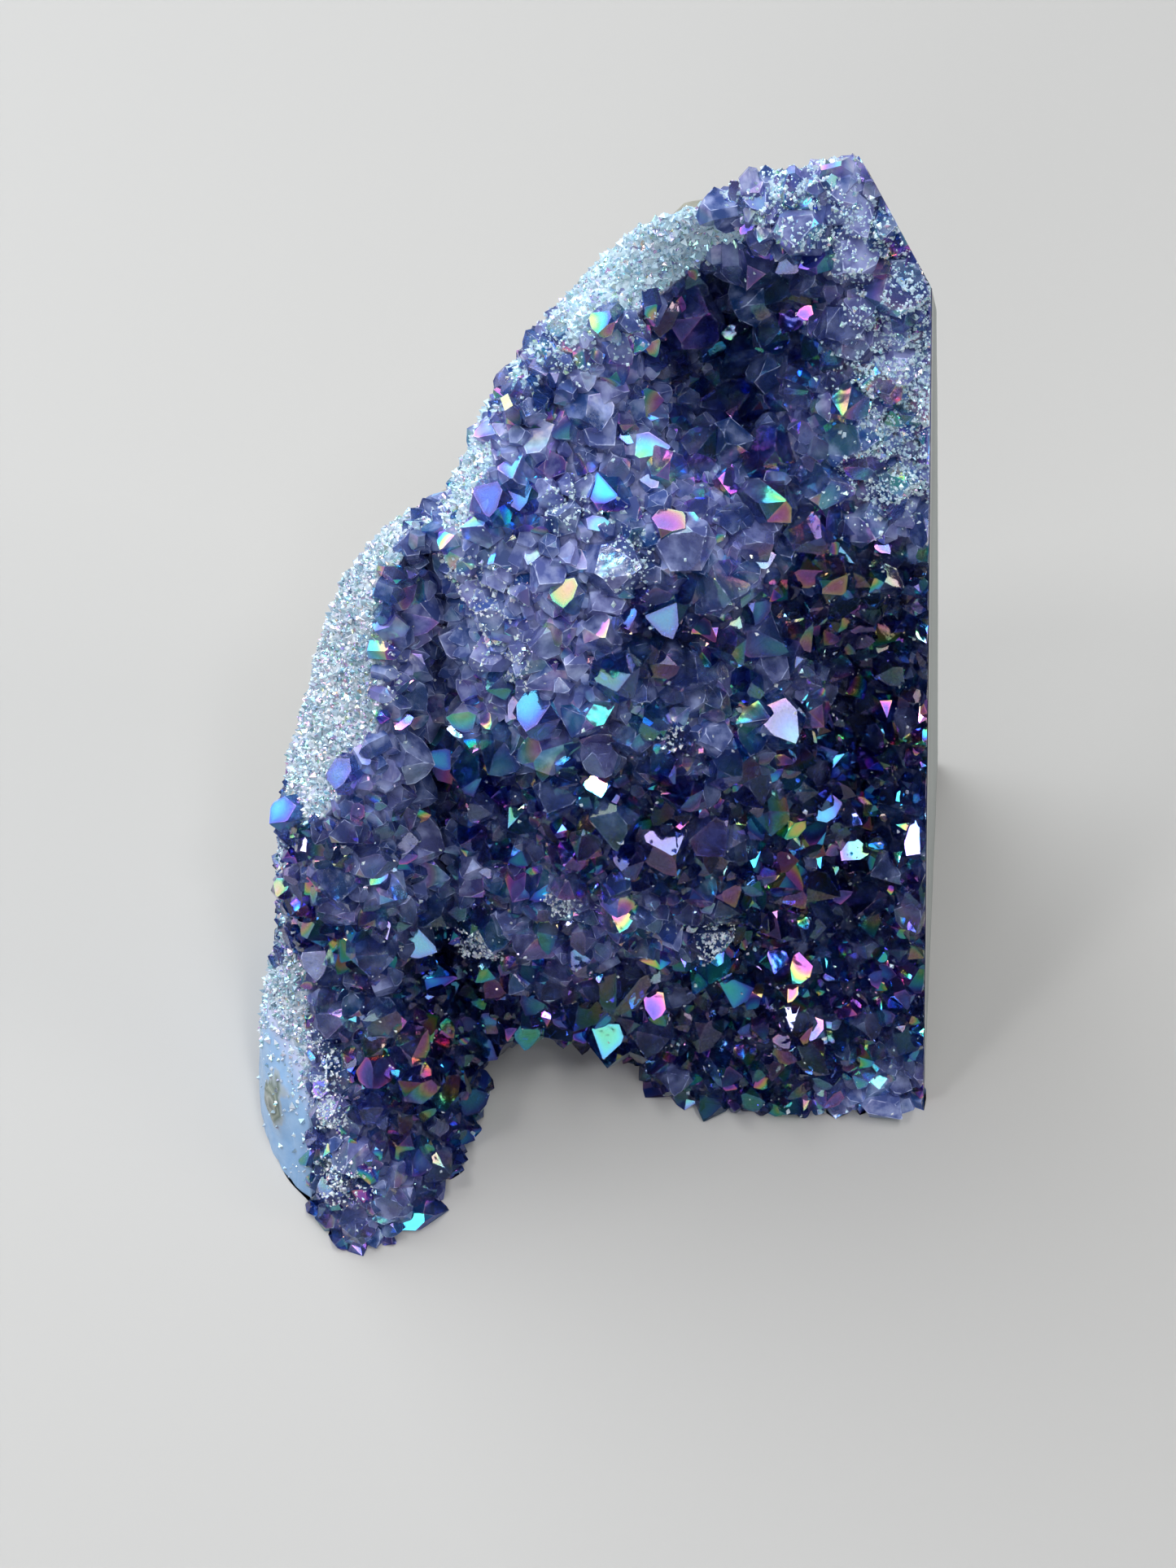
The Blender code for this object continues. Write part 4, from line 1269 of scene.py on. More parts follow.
# Crystals with a facet that catches the window: across, rise, radius, film, drift, glow, cloudiness
BRIGHT_CRYSTALS: tuple[tuple[float, ...], ...] = (
    (16.0, 84.8, 1.8, 0.50, 0.10, 0.40, 0.2), (9.5, 78.0, 2.0, 0.33, 0.20, 0.35, 0.2),
    (13.1, 77.4, 2.3, 0.30, 0.15, 0.34, 0.2), (11.2, 73.4, 2.6, 0.06, 0.10, 0.20, 0.2),
    (-7.4, 69.2, 2.2, 0.20, 0.16, 0.55, 0.4), (-5.2, 69.6, 1.9, 0.16, 0.50, 0.50, 0.6),
    (8.6, 70.9, 2.2, 0.44, 0.50, 0.35, 0.3), (14.9, 71.8, 2.4, 0.44, 0.40, 0.32, 0.3),
    (14.0, 69.0, 2.4, 0.56, 0.35, 0.45, 0.5), (6.3, 67.8, 1.8, 0.76, 0.25, 0.50, 0.6),
    (-1.3, 62.8, 1.8, 0.55, 0.10, 0.30, 0.9), (19.5, 62.3, 2.0, 0.72, 0.40, 0.40, 0.2),
    (20.7, 77.5, 1.8, 0.62, 0.45, 0.45, 0.8), (23.6, 78.8, 1.6, 0.80, 0.30, 0.45, 0.8),
    (22.5, 72.2, 1.7, 0.78, 0.40, 0.40, 0.8), (-3.8, 51.0, 2.2, 0.26, 0.16, 0.50, 0.5),
    (-7.1, 52.8, 1.7, 0.45, 0.20, 0.40, 0.7), (-9.6, 42.8, 2.3, 0.20, 0.35, 0.55, 0.3),
    (-1.9, 46.3, 1.5, 0.22, 0.20, 0.45, 0.2), (6.2, 46.9, 1.7, 0.18, 0.45, 0.50, 0.1),
    (8.1, 44.4, 1.8, 0.18, 0.50, 0.50, 0.1), (-9.9, 35.8, 1.9, 0.22, 0.35, 0.55, 0.3),
    (10.2, 52.0, 1.9, 0.66, 0.20, 0.35, 0.9), (-1.2, 37.2, 1.9, 0.05, 0.45, 0.40, 0.1),
    (3.9, 37.7, 2.2, 0.12, 0.25, 0.40, 0.2), (15.7, 31.7, 1.4, 0.90, 0.30, 0.40, 0.1),
    (20.0, 12.4, 1.7, 0.82, 0.35, 0.50, 0.2), (2.1, 0.6, 1.6, 0.92, 0.30, 0.35, 0.2),
    (-17.2, 13.5, 2.4, 0.85, 0.50, 0.40, 0.2), (-16.5, 9.8, 2.6, 0.90, 0.60, 0.45, 0.2),
    (2.4, 56.0, 2.6, 0.32, 0.15, 0.18, 0.2),
    (13.0, 52.8, 1.9, 0.38, 0.20, 0.30, 0.1), (-12.4, 16.1, 1.8, 0.16, 0.20, 0.30, 0.7),
    (-25.9, 39.1, 1.6, 0.28, 0.25, 0.50, 0.9), (-27.4, 28.0, 1.4, 0.74, 0.20, 0.40, 0.8),
    (17.5, 66.0, 2.2, 0.14, 0.45, 0.22, 0.5), (16.9, 57.0, 2.3, 0.80, 0.60, 0.30, 0.2),
    (11.6, 57.4, 2.1, 0.70, 0.60, 0.30, 0.2), (-13.0, 5.0, 1.8, 0.20, 0.50, 0.30, 0.2),
    (24.5, 9.0, 1.5, 0.26, 0.25, 0.35, 0.6), (-20.5, 45.0, 1.8, 0.16, 0.30, 0.25, 0.4),
    (7.0, 81.2, 3.2, 0.89, 0.12, 0.40, 0.6), (7.0, 76.5, 1.4, 0.69, 0.05, 0.20, 0.0),
    (13.4, 90.4, 1.5, 0.06, 0.20, 0.07, 0.9), (1.4, 84.5, 1.3, 0.48, 0.30, 0.40, 0.9),
    (10.5, 82.5, 1.8, 0.12, 0.25, 0.40, 0.4), (15.5, 80.5, 1.7, 0.36, 0.25, 0.28, 0.1),
    (9.0, 74.5, 1.6, 0.08, 0.30, 0.36, 0.2), (13.5, 74.5, 1.7, 0.10, 0.40, 0.30, 0.2),
    (11.5, 79.8, 1.6, 0.92, 0.30, 0.40, 0.4), (5.0, 78.5, 1.7, 0.16, 0.30, 0.25, 0.4),
    (24.2, 84.5, 1.4, 0.24, 0.30, 0.50, 0.9), (25.4, 76.0, 1.4, 0.30, 0.30, 0.50, 0.9),
    (25.0, 68.0, 1.5, 0.78, 0.30, 0.40, 0.9), (22.5, 88.5, 1.3, 0.72, 0.30, 0.40, 0.9),
)


@dataclass(frozen=True)
class Layer:
    """Crystals of one size: their spacing, where they may stand, and their radius, reach and lean.

    The margin is how far inside the crystals' edge they stay. The share is how much of the radius of
    crystals that stand already is kept clear. The reach counts in radii, and the lean in degrees.
    """

    spacing: float
    margin: float
    share: float
    radius: Span
    reach: Span
    lean: float


LAYERS: dict[str, Layer] = {
    "large_crystals": Layer(4.0, 2.0, 1.4, (1.5, 2.4), (1.1, 1.8), 15.0),
    "medium_crystals": Layer(2.3, 0.8, 0.9, (1.1, 1.7), (1.0, 1.7), 18.0),
    "small_crystals": Layer(1.3, -0.2, 0.75, (0.6, 1.1), (1.2, 2.0), 22.0),
}
RIM_LAYER = Layer(1.0, 0.0, 0.6, (0.9, 1.5), (0.3, 0.7), 16.0)
FIRST_CRYSTAL_SEED = 21


@dataclass(frozen=True)
class Variety:
    """How crystals differ: means and spreads of cloudiness, tone, film, its run along a facet, and glow."""

    size_power: float = 1.6
    cloud_spread: float = 0.16
    tone: Span = (0.45, 0.28)
    cloudy_tone: Span = (0.3, 0.4)
    film: Span = (0.16, 0.12)
    odd_film: float = 0.22
    drift: Span = (0.15, 0.30)
    glow: Span = (0.05, 0.70)
    glow_power: float = 2.8
    tip_shift: float = 0.22


@dataclass(frozen=True)
class BrightVariety:
    """How the set crystals are turned and scaled from their table."""

    lean: float = 8.0
    reach: Span = (1.5, 2.1)
    flash_spread: float = 0.035
    axis_spread: float = 0.25
    size: float = 0.8
    glow: float = 0.7
    cloud: float = 0.5
    length: Span = (1.8, 2.2)
    tip_shift: Span = (-0.3, -0.15)


@dataclass(frozen=True)
class FacetVariety:
    """How the facets of one crystal differ in film, glow and cloudiness.

    The lift keeps the film's number above 0, as the material reads only the part after the point.
    """

    film_spread: float = 0.07
    film_run: Span = (0.5, 1.1)
    film_lift: float = 4.0
    glow: Span = (0.5, 1.25)
    side_glow: float = 0.75
    root_cloud: float = 0.30
    cloud_middle: float = 0.55
    cloud_spread: float = 0.08
    side_edge: float = 0.5


@dataclass
class CrystalBed:
    """The crystals that cover the face: set ones, large ones, then smaller ones between them."""

    slab: SlabFrame
    relief: Relief
    cuts: SawCuts
    milk: MilkAndPaintedShadingMap
    form: QuartzForm = field(default_factory=QuartzForm)
    variety: Variety = field(default_factory=Variety)
    brights: BrightVariety = field(default_factory=BrightVariety)
    facet_variety: FacetVariety = field(default_factory=FacetVariety)
    seed: int = 7
    facets: list[Array] = field(default_factory=list)
    edge_points: int = 400
    least_rim: float = 0.2
    past_cut: float = 0.4
    pitch: float = 0.42
    shake: float = 0.5
    trim_clearance: float = 0.05
    rim_tries: int = 24000
    rim_ragged: Unevenness = Unevenness(3.0, 0.35, 91)
    rim_cover: float = 0.45
    # Stretches of the ground rim that crystals cover, as across, rise and size
    rim_patches: tuple[tuple[float, float, float], ...] = (
        (-29.5, 27.0, 5.0), (-28.5, 34.0, 4.5), (-30.5, 21.0, 4.0), (-8.0, 76.0, 4.0), (-5.0, 80.5, 3.5),
        (17.0, 96.5, 5.0), (11.5, 95.0, 3.5), (-13.0, 66.0, 2.5), (-30.0, -14.0, 4.5),
    )

    def lattice(self, pitch: float, margin: float, rng: np.random.Generator) -> Array:
        """Places of a shaken hexagonal lattice inside the crystals' edge.

        Args:
            pitch: distance between neighbours.
            margin: how far inside the edge they stay; a negative one lets them past it.
            rng: random numbers.

        Returns:
            Across and rise of each place.
        """
        outline = self.relief.ring(self.edge_points)
        edge = inset(outline[:, :2], np.maximum(outline[:, 2] + margin, self.least_rim))
        low, high = edge.min(0), edge.max(0)
        rows = np.arange(low[1], high[1], pitch * math.sqrt(0.75))
        columns = np.arange(low[0], high[0], pitch)
        rise, across = np.meshgrid(rows, columns, indexing="ij")
        across = across + pitch / 2 * (np.arange(len(rows)) % 2)[:, None]
        places = np.stack([across.ravel(), rise.ravel()], 1)
        places = places + rng.uniform(-self.shake, self.shake, places.shape) * pitch
        kept = places[self.relief.inside(places, edge)]
        return kept[(self.cuts.beyond(self.relief.on_face(kept)) < self.past_cut).all(1)]

    def scatter(self, layer: Layer, larger: Sequence[Stand], rng: np.random.Generator) -> tuple[Array, Array]:
        """Places over the face that keep a distance from each other.

        The distance is taken in space, so steep parts get as many crystals for their area as flat ones.

        Args:
            layer: the spacing and the margin.
            larger: crystals that stand already.
            rng: random numbers.

        Returns:
            Places on the face and the normals there.
        """
        flat = self.lattice(layer.spacing * self.pitch, layer.margin, rng)
        return self.thin((self.relief.on_face(flat), self.relief.normal(flat)), layer, larger, rng)

    @staticmethod
    def thin(
        sites: tuple[Array, Array], layer: Layer, larger: Sequence[Stand], rng: np.random.Generator,
    ) -> tuple[Array, Array]:
        """Sites taken in random order, each of which rules out those nearer than the spacing.

        Args:
            sites: places and normals.
            layer: the spacing, and how much of a larger crystal's radius is kept clear.
            larger: crystals that stand already.
            rng: random numbers.

        Returns:
            The places and normals that are kept.
        """
        spots = sites[0]
        tree = KDTree(len(spots))
        for k, spot in enumerate(spots.tolist()):
            tree.insert(spot, k)
        tree.balance()
        free = np.ones(len(spots), bool)
        for stand in larger:
            for spot, radius in zip(stand.places.tolist(), stand.radius.tolist()):
                free[[k for _, k, _ in tree.find_range(spot, radius * layer.share)]] = False
        kept = []
        for k in rng.permutation(len(spots)).tolist():
            if free[k]:
                kept.append(k)
                free[[j for _, j, _ in tree.find_range(spots[k].tolist(), layer.spacing)]] = False
        return sites[0][kept], sites[1][kept]

    def on_rim(
        self, wall: GeodeWall, larger: Sequence[Stand], rng: np.random.Generator,
    ) -> tuple[Array, Array]:
        """Sites on those stretches of the ground rim that crystals cover."""
        rows = wall.rim[0]
        odds = np.zeros(rows.shape[:2])
        for across, rise, size in self.rim_patches:
            near = ((rows[..., 0] - across) ** 2 + (rows[..., 1] - rise) ** 2) / size**2
            odds = np.maximum(odds, np.exp(-(near**2)))
        covered = odds + self.rim_ragged.read(rows) > self.rim_cover
        return self.thin(wall.rim_sites(covered.astype(float), self.rim_tries, rng), RIM_LAYER, larger, rng)

    def spread(
        self, sites: tuple[Array, Array], radius: Span, reach: Span, lean: float, rng: np.random.Generator,
    ) -> Stand:
        """Gives every site a crystal, leaning at random from the normal there.

        Args:
            sites: places and normals.
            radius: smallest and largest radius.
            reach: shortest and longest reach, in radii.
            lean: spread of the lean, in degrees.
            rng: random numbers.

        Returns:
            The crystals.
        """
        places, normal = sites
        count, vary = len(places), self.variety
        axis = normal + rng.normal(0.0, math.tan(math.radians(lean)), (count, 3))
        milk = np.clip(self.milk.read(places[:, :2]) + rng.normal(0.0, vary.cloud_spread, count), 0.0, 1.0)
        size = radius[0] + (radius[1] - radius[0]) * rng.random(count) ** vary.size_power
        facing = rng.normal(0.0, 1.0, (count, 3))
        length = rng.uniform(*reach, count) * size
        tone = rng.normal(*vary.tone, count) + vary.cloudy_tone[0] * (milk - vary.cloudy_tone[1])
        film = vary.film[0] + vary.film[1] * rng.standard_normal(count)
        film = film + (rng.random(count) < vary.odd_film) * rng.random(count)
        return Stand(
            places=places,
            axis=axis,
            facing=facing,
            radius=size,
            reach=length,
            milk=milk,
            tone=np.clip(tone, 0.0, 1.0),
            film=film % 1.0,
            drift=vary.drift[0] + np.abs(rng.normal(0.0, vary.drift[1], count)),
            glow=vary.glow[0] + vary.glow[1] * rng.random(count) ** vary.glow_power,
            shift=rng.uniform(-vary.tip_shift, vary.tip_shift, (count, 2)),
        )

    def fill(self, layer: Layer, larger: Sequence[Stand], rng: np.random.Generator) -> Stand:
        """Crystals of one size between those that stand already."""
        return self.spread(self.scatter(layer, larger, rng), layer.radius, layer.reach, layer.lean, rng)

    def edging(self, wall: GeodeWall, larger: Sequence[Stand], rng: np.random.Generator) -> Stand:
        """The crystals on the ground rim."""
        sites = self.on_rim(wall, larger, rng)
        return self.spread(sites, RIM_LAYER.radius, RIM_LAYER.reach, RIM_LAYER.lean, rng)

    def bright(self, studio: "Studio", rng: np.random.Generator) -> Stand:
        """The set crystals whose first facet is turned to send the window's light to the camera.

        The axis lies 51.8 degrees from that facet's normal, on the side of the face's own normal.

        Args:
            studio: where the window and the camera are.
            rng: random numbers.

        Returns:
            The crystals.
        """
        table = np.array(BRIGHT_CRYSTALS)
        places, count, vary = table[:, :2], len(table), self.brights
        sites = self.relief.on_face(places), self.relief.normal(places)
        stand = self.spread(sites, (1.0, 1.0), vary.reach, vary.lean, rng)
        at = self.slab.to_part(stand.places)
        flash = np.stack([self.slab.to_slab(studio.flash_normal(p)) for p in at])
        flash = flash + rng.normal(0.0, vary.flash_spread, flash.shape)
        flash /= np.linalg.norm(flash, axis=1, keepdims=True)
        normal = sites[1] + rng.normal(0.0, vary.axis_spread, (count, 3))
        aside = normal - (normal * flash).sum(1, keepdims=True) * flash
        aside /= np.linalg.norm(aside, axis=1, keepdims=True)
        angle = math.atan(self.form.slope)
        stand.axis = math.cos(angle) * flash + math.sin(angle) * aside
        stand.facing = flash
        stand.radius, stand.film, stand.drift = table[:, 2] * vary.size, table[:, 3], table[:, 4]
        stand.glow, stand.milk = table[:, 5] * vary.glow, table[:, 6] * vary.cloud
        stand.reach = stand.radius * rng.uniform(*vary.length, count)
        stand.shift[:, 0] = rng.uniform(*vary.tip_shift, count)
        return stand

    def build(self, name: str, stand: Stand, material: bpy.types.Material, seed: int) -> bpy.types.Object:
        """Makes one piece from a stand of crystals.

        Args:
            name: the piece's name.
            stand: the crystals.
            material: their finish.
            seed: for what differs from face to face.

        Returns:
            The piece.
        """
        rng, vary = np.random.default_rng(seed), self.facet_variety
        corners = self.form.corners(stand, rng)
        placed = self.cuts.trim(self.form.place(corners, stand), self.trim_clearance)
        pattern, facets = self.form.pattern()
        count, size = corners.shape[:2]
        per_facet = (count, self.form.FACETS)
        flat = np.array([v for face in pattern for v in face])
        owner = np.array([k for k, face in zip(facets, pattern) for _ in face])
        lengths = np.array([len(face) for face in pattern])
        loops = (flat[None] + size * np.arange(count)[:, None]).ravel()
        starts = np.concatenate([[0], np.cumsum(np.tile(lengths, count))[:-1]])
        self.facets.append(placed[:, flat[:3 * self.form.POINT_TRIANGLES]].reshape(-1, 3, 3))
        phase = stand.film[:, None] + rng.normal(0.0, vary.film_spread, per_facet)
        way = rng.normal(0.0, 1.0, (*per_facet, 3))
        way /= np.linalg.norm(way, axis=-1, keepdims=True)
        run = stand.drift[:, None] * rng.uniform(*vary.film_run, per_facet) / stand.radius[:, None]
        at = placed[:, flat] - placed[:, :1]
        film = phase[:, owner] + (at * way[:, owner]).sum(-1) * run[:, owner]
        glow = stand.glow[:, None] * rng.uniform(*vary.glow, per_facet)
        glow[:, 6:] *= vary.side_glow
        height = np.clip(corners[:, :, 2] / stand.reach[:, None], 0.0, 1.0)
        milk = stand.milk[:, None] + vary.root_cloud * (vary.cloud_middle - height)[:, flat]
        milk = milk + rng.normal(0.0, vary.cloud_spread, per_facet)[:, owner]
        edge = np.where(owner >= 6, vary.side_edge, (flat < self.form.FIRST_MIDDLE).astype(float))
        attributes = {
            "film": ("CORNER", film + vary.film_lift),
            "glow": ("FACE", np.clip(glow, 0.0, 1.0)[:, facets]),
            "milk": ("CORNER", np.clip(milk, 0.0, 1.0)),
            "tone": ("FACE", np.repeat(stand.tone[:, None], len(pattern), 1)),
            "edge": ("CORNER", np.tile(edge, count)),
        }
        at = self.slab.to_part(placed.reshape(-1, 3))
        return add_piece(name, at, loops, starts, attributes, material, Slot.AMETHYST)


@dataclass(frozen=True)
class Crust:
    """One crust of grains: smallest and largest half length, slot, seed and how much paler it is, partly its
    own white and partly painted light.
    """

    size: Span
    slot: Slot
    seed: int
    paleness_with_painted_light: float = 0.0


RIM_CRUST = Crust((0.14, 0.46), Slot.GROUND_RIM, 31)
# Frost grains made paler: partly their own white, partly painted light that makes up for the shade they lie
# in.
FROST = Crust((0.10, 0.30), Slot.AMETHYST, 32, 0.3)


@dataclass
class Druse:
    """Crusts of small grains: the sparkling ground rim, frosty patches and the dust between the crystals.

    Each patch is given by across, rise, size and strength, and each film has its odds.
    """

    slab: SlabFrame
    cuts: SawCuts
    rim_grains: int = 14000
    frost_grains: int = 12000
    agate_bareness: float = 0.98
    dust: float = 0.04
    size_power: float = 2.5
    slant: float = 0.3
    half_lengths: Span = (0.6, 1.2)
    trim_clearance: float = 0.05
    films: tuple[float, ...] = (0.22, 0.30, 0.38, 0.62, 0.78, 0.9)
    film_odds: tuple[float, ...] = (0.28, 0.22, 0.16, 0.08, 0.16, 0.1)
    film_spread: float = 0.04
    film_lift: float = 4.0
    glow_odds: Span = (0.6, 1.8)
    most_glow: float = 0.8
    tone_odds: Span = (1.4, 1.5)
    tone_spread: float = 0.12
    patches: tuple[tuple[float, float, float, float], ...] = (
        (11.6, 25.1, 1.7, 9.0), (-2.3, 30.9, 1.4, 8.0), (-10.0, 21.9, 2.2, 6.0), (7.0, 49.9, 1.0, 6.0),
        (24.5, 79.0, 4.5, 9.0), (24.5, 71.0, 4.0, 8.0), (24.0, 86.0, 4.0, 7.0), (20.0, 91.5, 3.5, 4.0),
        (15.5, 94.5, 3.5, 4.0), (2.3, 84.4, 3.0, 3.0), (-1.4, 81.9, 2.5, 3.0), (8.0, 89.0, 3.0, 2.0),
        (-24.9, 11.0, 2.0, 7.0), (-24.7, 7.2, 1.8, 9.0), (-23.0, 1.9, 2.5, 5.0), (-18.0, 53.5, 2.5, 3.0),
        (-6.5, 56.0, 3.0, 3.0), (3.0, 66.0, 3.0, 2.0), (-9.0, 62.0, 3.0, 2.5), (-1.5, 69.5, 2.0, 3.0),
    )

    def on_rim(self, wall: GeodeWall, rng: np.random.Generator) -> tuple[Array, Array]:
        """Sites on the ground rim, which leave the agate bare."""
        odds = 1.0 - self.agate_bareness * wall.agate.share(wall.rim[0])
        return wall.rim_sites(odds, self.rim_grains, rng)

    def on_crystals(self, facets: Sequence[Array], rng: np.random.Generator) -> tuple[Array, Array]:
        """Sites on the crystals' facets, close together in the patches and thin elsewhere.

        Args:
            facets: the triangles of the crystals' points, each as three corners.
            rng: random numbers.

        Returns:
            Places and normals.
        """
        count = self.frost_grains
        corners = np.concatenate(facets)
        normal = np.cross(corners[:, 1] - corners[:, 0], corners[:, 2] - corners[:, 0])
        area = np.maximum(np.linalg.norm(normal, axis=1), TINY)
        middle = corners.mean(1)
        odds = np.full(len(corners), self.dust)
        for across, rise, size, strength in self.patches:
            near = ((middle[:, 0] - across) ** 2 + (middle[:, 1] - rise) ** 2) / size**2
            odds = odds + strength * np.exp(-(near**2))
        chosen = rng.choice(len(corners), count, p=odds * area / (odds * area).sum())
        cut = np.sort(rng.random((2, count)), axis=0)
        shares = np.stack([cut[0], cut[1] - cut[0], 1.0 - cut[1]], 1)
        places = (corners[chosen] * shares[:, :, None]).sum(1)
        return places, normal[chosen] / area[chosen, None]

    def build(
        self, name: str, sites: tuple[Array, Array], crust: Crust, material: bpy.types.Material,
    ) -> bpy.types.Object:
        """Makes a crust: each grain is a closed body of eight faces about three slanted uneven axes.

        Args:
            name: the piece's name.
            sites: places and normals.
            crust: size, slot, seed and paleness, partly painted light.
            material: its finish.

        Returns:
            The piece.
        """
        rng = np.random.default_rng(crust.seed)
        places, normal = sites
        count, (least, most) = len(places), crust.size
        half = least + (most - least) * rng.random((count, 1)) ** self.size_power
        side = np.cross(normal, rng.normal(0.0, 1.0, (count, 3)))
        side /= np.linalg.norm(side, axis=1, keepdims=True)
        ways = np.stack([side, np.cross(normal, side), normal], 1)
        ways = ways + rng.uniform(-self.slant, self.slant, ways.shape)
        reach = half * rng.uniform(*self.half_lengths, (count, 6))
        ends = [places + reach[:, k, None] * ways[:, k % 3] * (1 if k < 3 else -1) for k in range(6)]
        corners = self.cuts.trim(np.stack(ends, 1), self.trim_clearance)
        belt = [0, 1, 3, 4]
        pairs = list(zip(belt, belt[1:] + belt[:1]))
        pattern = np.array([[2, a, b] for a, b in pairs] + [[5, b, a] for a, b in pairs])
        loops = (pattern[None] + len(ends) * np.arange(count)[:, None, None]).ravel()
        faces = len(pattern) * count
        film = rng.choice(self.films, faces, p=self.film_odds)
        tone = np.repeat(rng.beta(*self.tone_odds, count) + crust.paleness_with_painted_light, len(pattern))
        tone = tone + rng.normal(0.0, self.tone_spread, faces)
        attributes = {
            "film": ("FACE", film + rng.normal(0.0, self.film_spread, faces) + self.film_lift),
            "glow": ("FACE", np.clip(rng.beta(*self.glow_odds, faces), 0.0, self.most_glow)),
            "tone": ("FACE", np.clip(tone, 0.0, 1.0)),
        }
        at = self.slab.to_part(corners.reshape(-1, 3))
        return add_piece(name, at, loops, np.arange(faces) * 3, attributes, material, crust.slot)


# Studio


@dataclass(frozen=True)
class Lamp:
    """A soft rectangular light: place, width and height in metres, power in watts and colour."""

    name: str
    place: tuple[float, float, float]
    width: float
    height: float
    power: float
    colour: Colour = WHITE

    def build(self, target: tuple[float, float, float]) -> None:
        """Puts the light in its place, pointing at the target."""
        lamp = bpy.data.lights.new(self.name, "AREA")
        lamp.shape, lamp.size, lamp.size_y = "RECTANGLE", self.width, self.height
        lamp.energy, lamp.color = self.power, self.colour
        holder = bpy.data.objects.new(self.name, lamp)
        holder.location = self.place
        way = np.array(target) - np.array(self.place)
        yaw = math.atan2(way[1], way[0])
        pitch = math.atan2(math.hypot(way[0], way[1]), -way[2])
        holder.rotation_euler = (pitch, 0.0, yaw - math.pi / 2)
        bpy.context.scene.collection.objects.link(holder)


WINDOW = Lamp("window", (-0.46, 0.40, 0.60), 0.85, 0.85, 8.5, (0.95, 0.98, 1.0))
OTHER_LAMPS: tuple[Lamp, ...] = (
    Lamp("front box", (-0.25, -0.62, 0.50), 0.30, 0.30, 1.2, (0.97, 0.98, 1.0)),
    Lamp("overhead strip", (0.16, 0.05, 0.80), 0.60, 0.12, 2.4),
    Lamp("right box", (0.62, -0.10, 0.42), 0.20, 0.35, 0.9, (1.0, 0.98, 0.95)),
    Lamp("left spark", (-0.36, -0.10, 0.62), 0.10, 0.10, 0.9),
    Lamp("right spark", (0.20, -0.28, 0.66), 0.08, 0.08, 0.5),
)


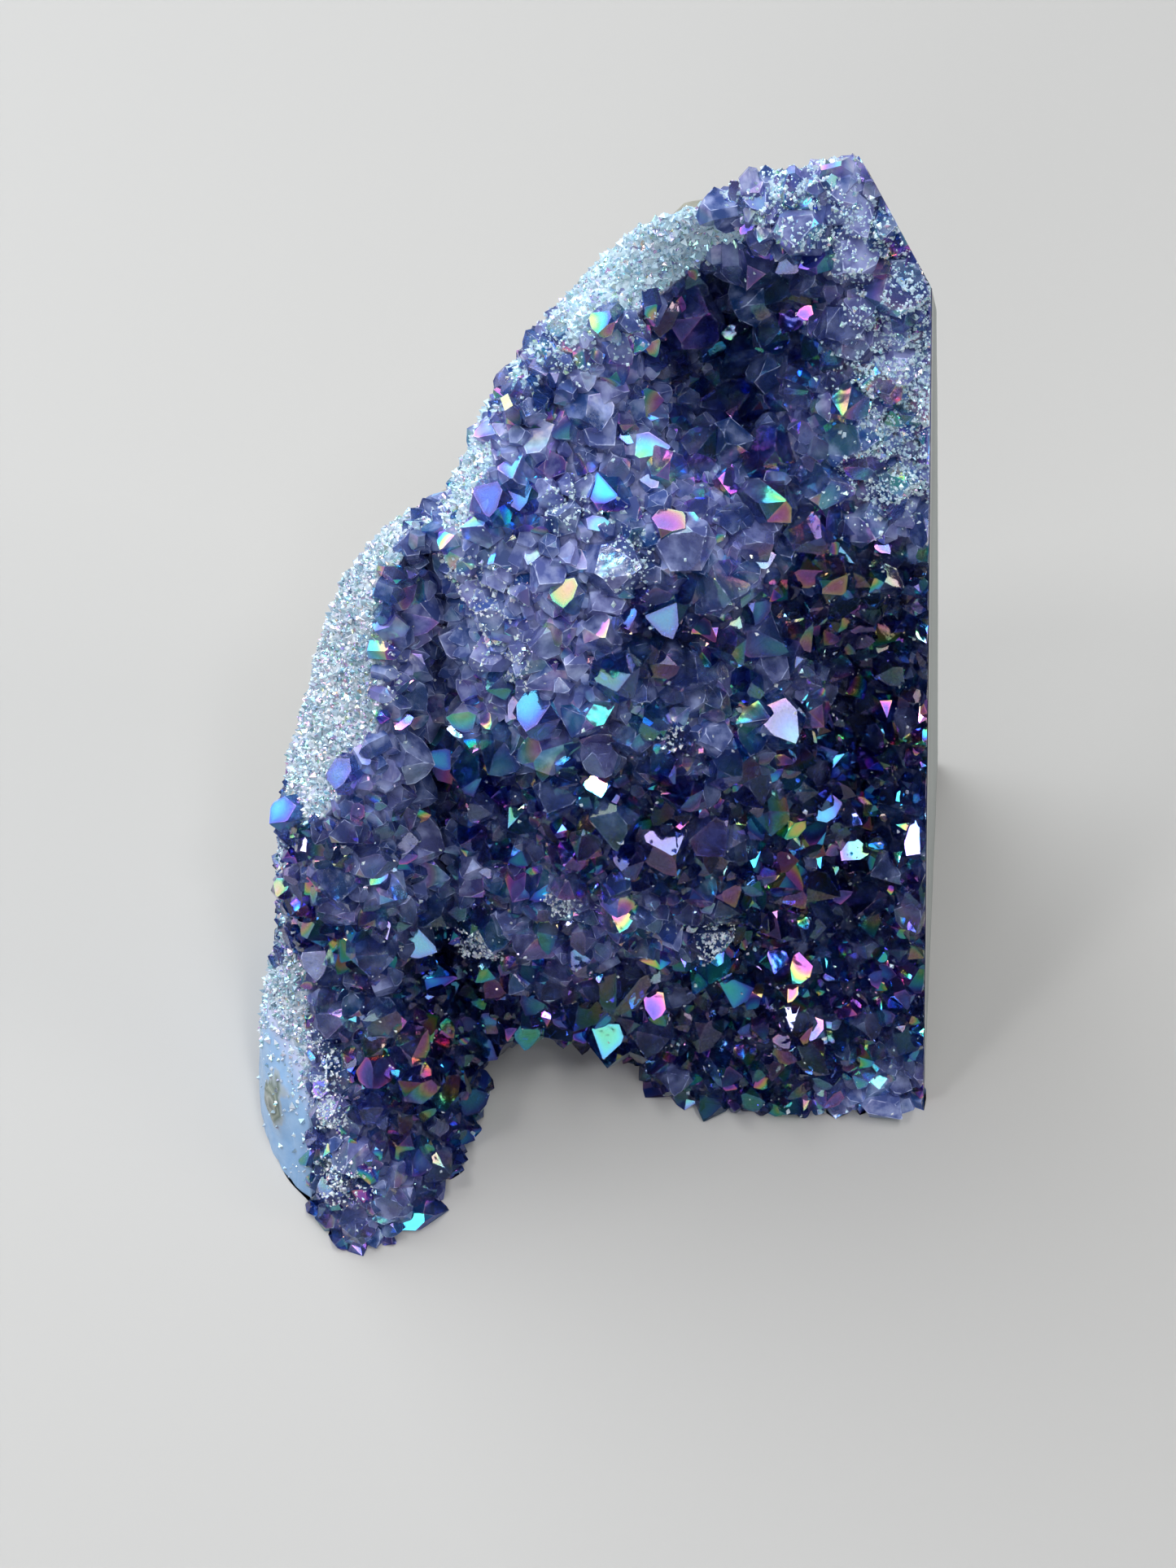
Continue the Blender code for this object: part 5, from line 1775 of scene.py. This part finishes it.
@dataclass(frozen=True)
class Studio:
    """Camera at the photograph's viewing angle, a pale floor and soft light."""

    camera_place: tuple[float, float, float] = (-0.0024, -0.10745, 0.215)
    camera_pitch: float = 31.0
    focal_length: float = 54.08
    sensor_width: float = 36.0
    nearest: float = 0.001
    aim: tuple[float, float, float] = (0.0, 0.0, 0.045)
    flat_radius: float = 0.3
    floor_radius: float = 0.70
    sweep: float = 0.40
    wall_height: float = 0.60
    sweep_steps: int = 16
    floor_sides: int = 120
    surround: Colour = (0.62, 0.70, 0.85)
    surround_strength: float = 0.08

    def flash_normal(self, place: Array) -> Array:
        """The normal with which a facet at a place in metres sends the window's light to the camera."""
        ways = []
        for source in (self.camera_place, WINDOW.place):
            way = np.array(source) - place
            ways.append(way / np.linalg.norm(way))
        middle = ways[0] + ways[1]
        return middle / np.linalg.norm(middle)

    def build(self, floor: bpy.types.Material) -> None:
        """Sets up camera, floor, lights and surrounding light."""
        scene = bpy.context.scene
        lens = bpy.data.cameras.new("camera")
        lens.lens, lens.sensor_width, lens.clip_start = self.focal_length, self.sensor_width, self.nearest
        camera = bpy.data.objects.new("camera", lens)
        camera.location = self.camera_place
        camera.rotation_euler = (math.radians(self.camera_pitch), 0.0, 0.0)
        scene.collection.objects.link(camera)
        scene.camera = camera

        self.floor(floor)
        for lamp in (WINDOW, *OTHER_LAMPS):
            lamp.build(self.aim)
        world = bpy.data.worlds.new("studio")
        world.use_nodes = True
        background = world.node_tree.nodes["Background"]
        background.inputs["Color"].default_value = (*self.surround, 1.0)
        background.inputs["Strength"].default_value = self.surround_strength
        scene.world = world
        scene.view_settings.view_transform = "Standard"

    def floor(self, material: bpy.types.Material) -> None:
        """A round floor that is carried up in a quarter circle to a low wall, so that no horizon shows."""
        angle = np.linspace(0.0, math.pi / 2, self.sweep_steps + 1)
        radius = np.concatenate([[self.flat_radius], self.floor_radius + self.sweep * np.sin(angle)])
        height = np.concatenate([[0.0], self.sweep * (1.0 - np.cos(angle))])
        radius, height = np.append(radius, radius[-1]), np.append(height, self.wall_height)
        turn = np.radians(np.arange(self.floor_sides) * 360.0 / self.floor_sides)
        rings = radius[:, None, None] * np.stack([np.cos(turn), np.sin(turn), turn * 0.0], 1)
        rings[:, :, 2] = height[:, None]
        columns = len(turn)
        k, base = np.arange(columns), np.arange(len(radius) - 1)[:, None] * columns
        j = (k + 1) % columns
        quads = np.stack([base + k, base + columns + k, base + columns + j, base + j], -1).reshape(-1, 4)
        mesh = bpy.data.meshes.new("floor")
        mesh.from_pydata(rings.reshape(-1, 3).tolist(), [], [k.tolist(), *quads.tolist()])
        mesh.polygons.foreach_set("use_smooth", np.full(len(mesh.polygons), True))
        mesh.materials.append(material)
        dish = bpy.data.objects.new("floor", mesh)
        bpy.context.scene.collection.objects.link(dish)


def main() -> None:
    """Builds every piece in order and reports it."""
    logging.basicConfig(level=logging.INFO, format="%(message)s")
    slab, relief, milk = SlabFrame(), Relief(), MilkAndPaintedShadingMap()
    cuts = SawCuts(slab)
    quartz = AuraQuartz().build()
    wall = GeodeWall(slab, relief, cuts, milk)
    log_piece(wall.build(GeodeStone().build()))

    bed, studio = CrystalBed(slab, relief, cuts, milk), Studio()
    rng = np.random.default_rng(bed.seed)
    stands = {"bright_crystals": bed.bright(studio, rng)}
    for name, layer in LAYERS.items():
        stands[name] = bed.fill(layer, list(stands.values()), rng)
    stands["rim_crystals"] = bed.edging(wall, [stands["bright_crystals"]], rng)
    for seed, (name, stand) in enumerate(stands.items(), FIRST_CRYSTAL_SEED):
        log_piece(bed.build(name, stand, quartz, seed))

    druse, ground = Druse(slab, cuts), GroundQuartz().build()
    log_piece(druse.build("rim_crust", druse.on_rim(wall, rng), RIM_CRUST, ground))
    log_piece(druse.build("druse", druse.on_crystals(bed.facets[1:], rng), FROST, ground))
    studio.build(PaleFloor().build())


if __name__ == "__main__":
    main()
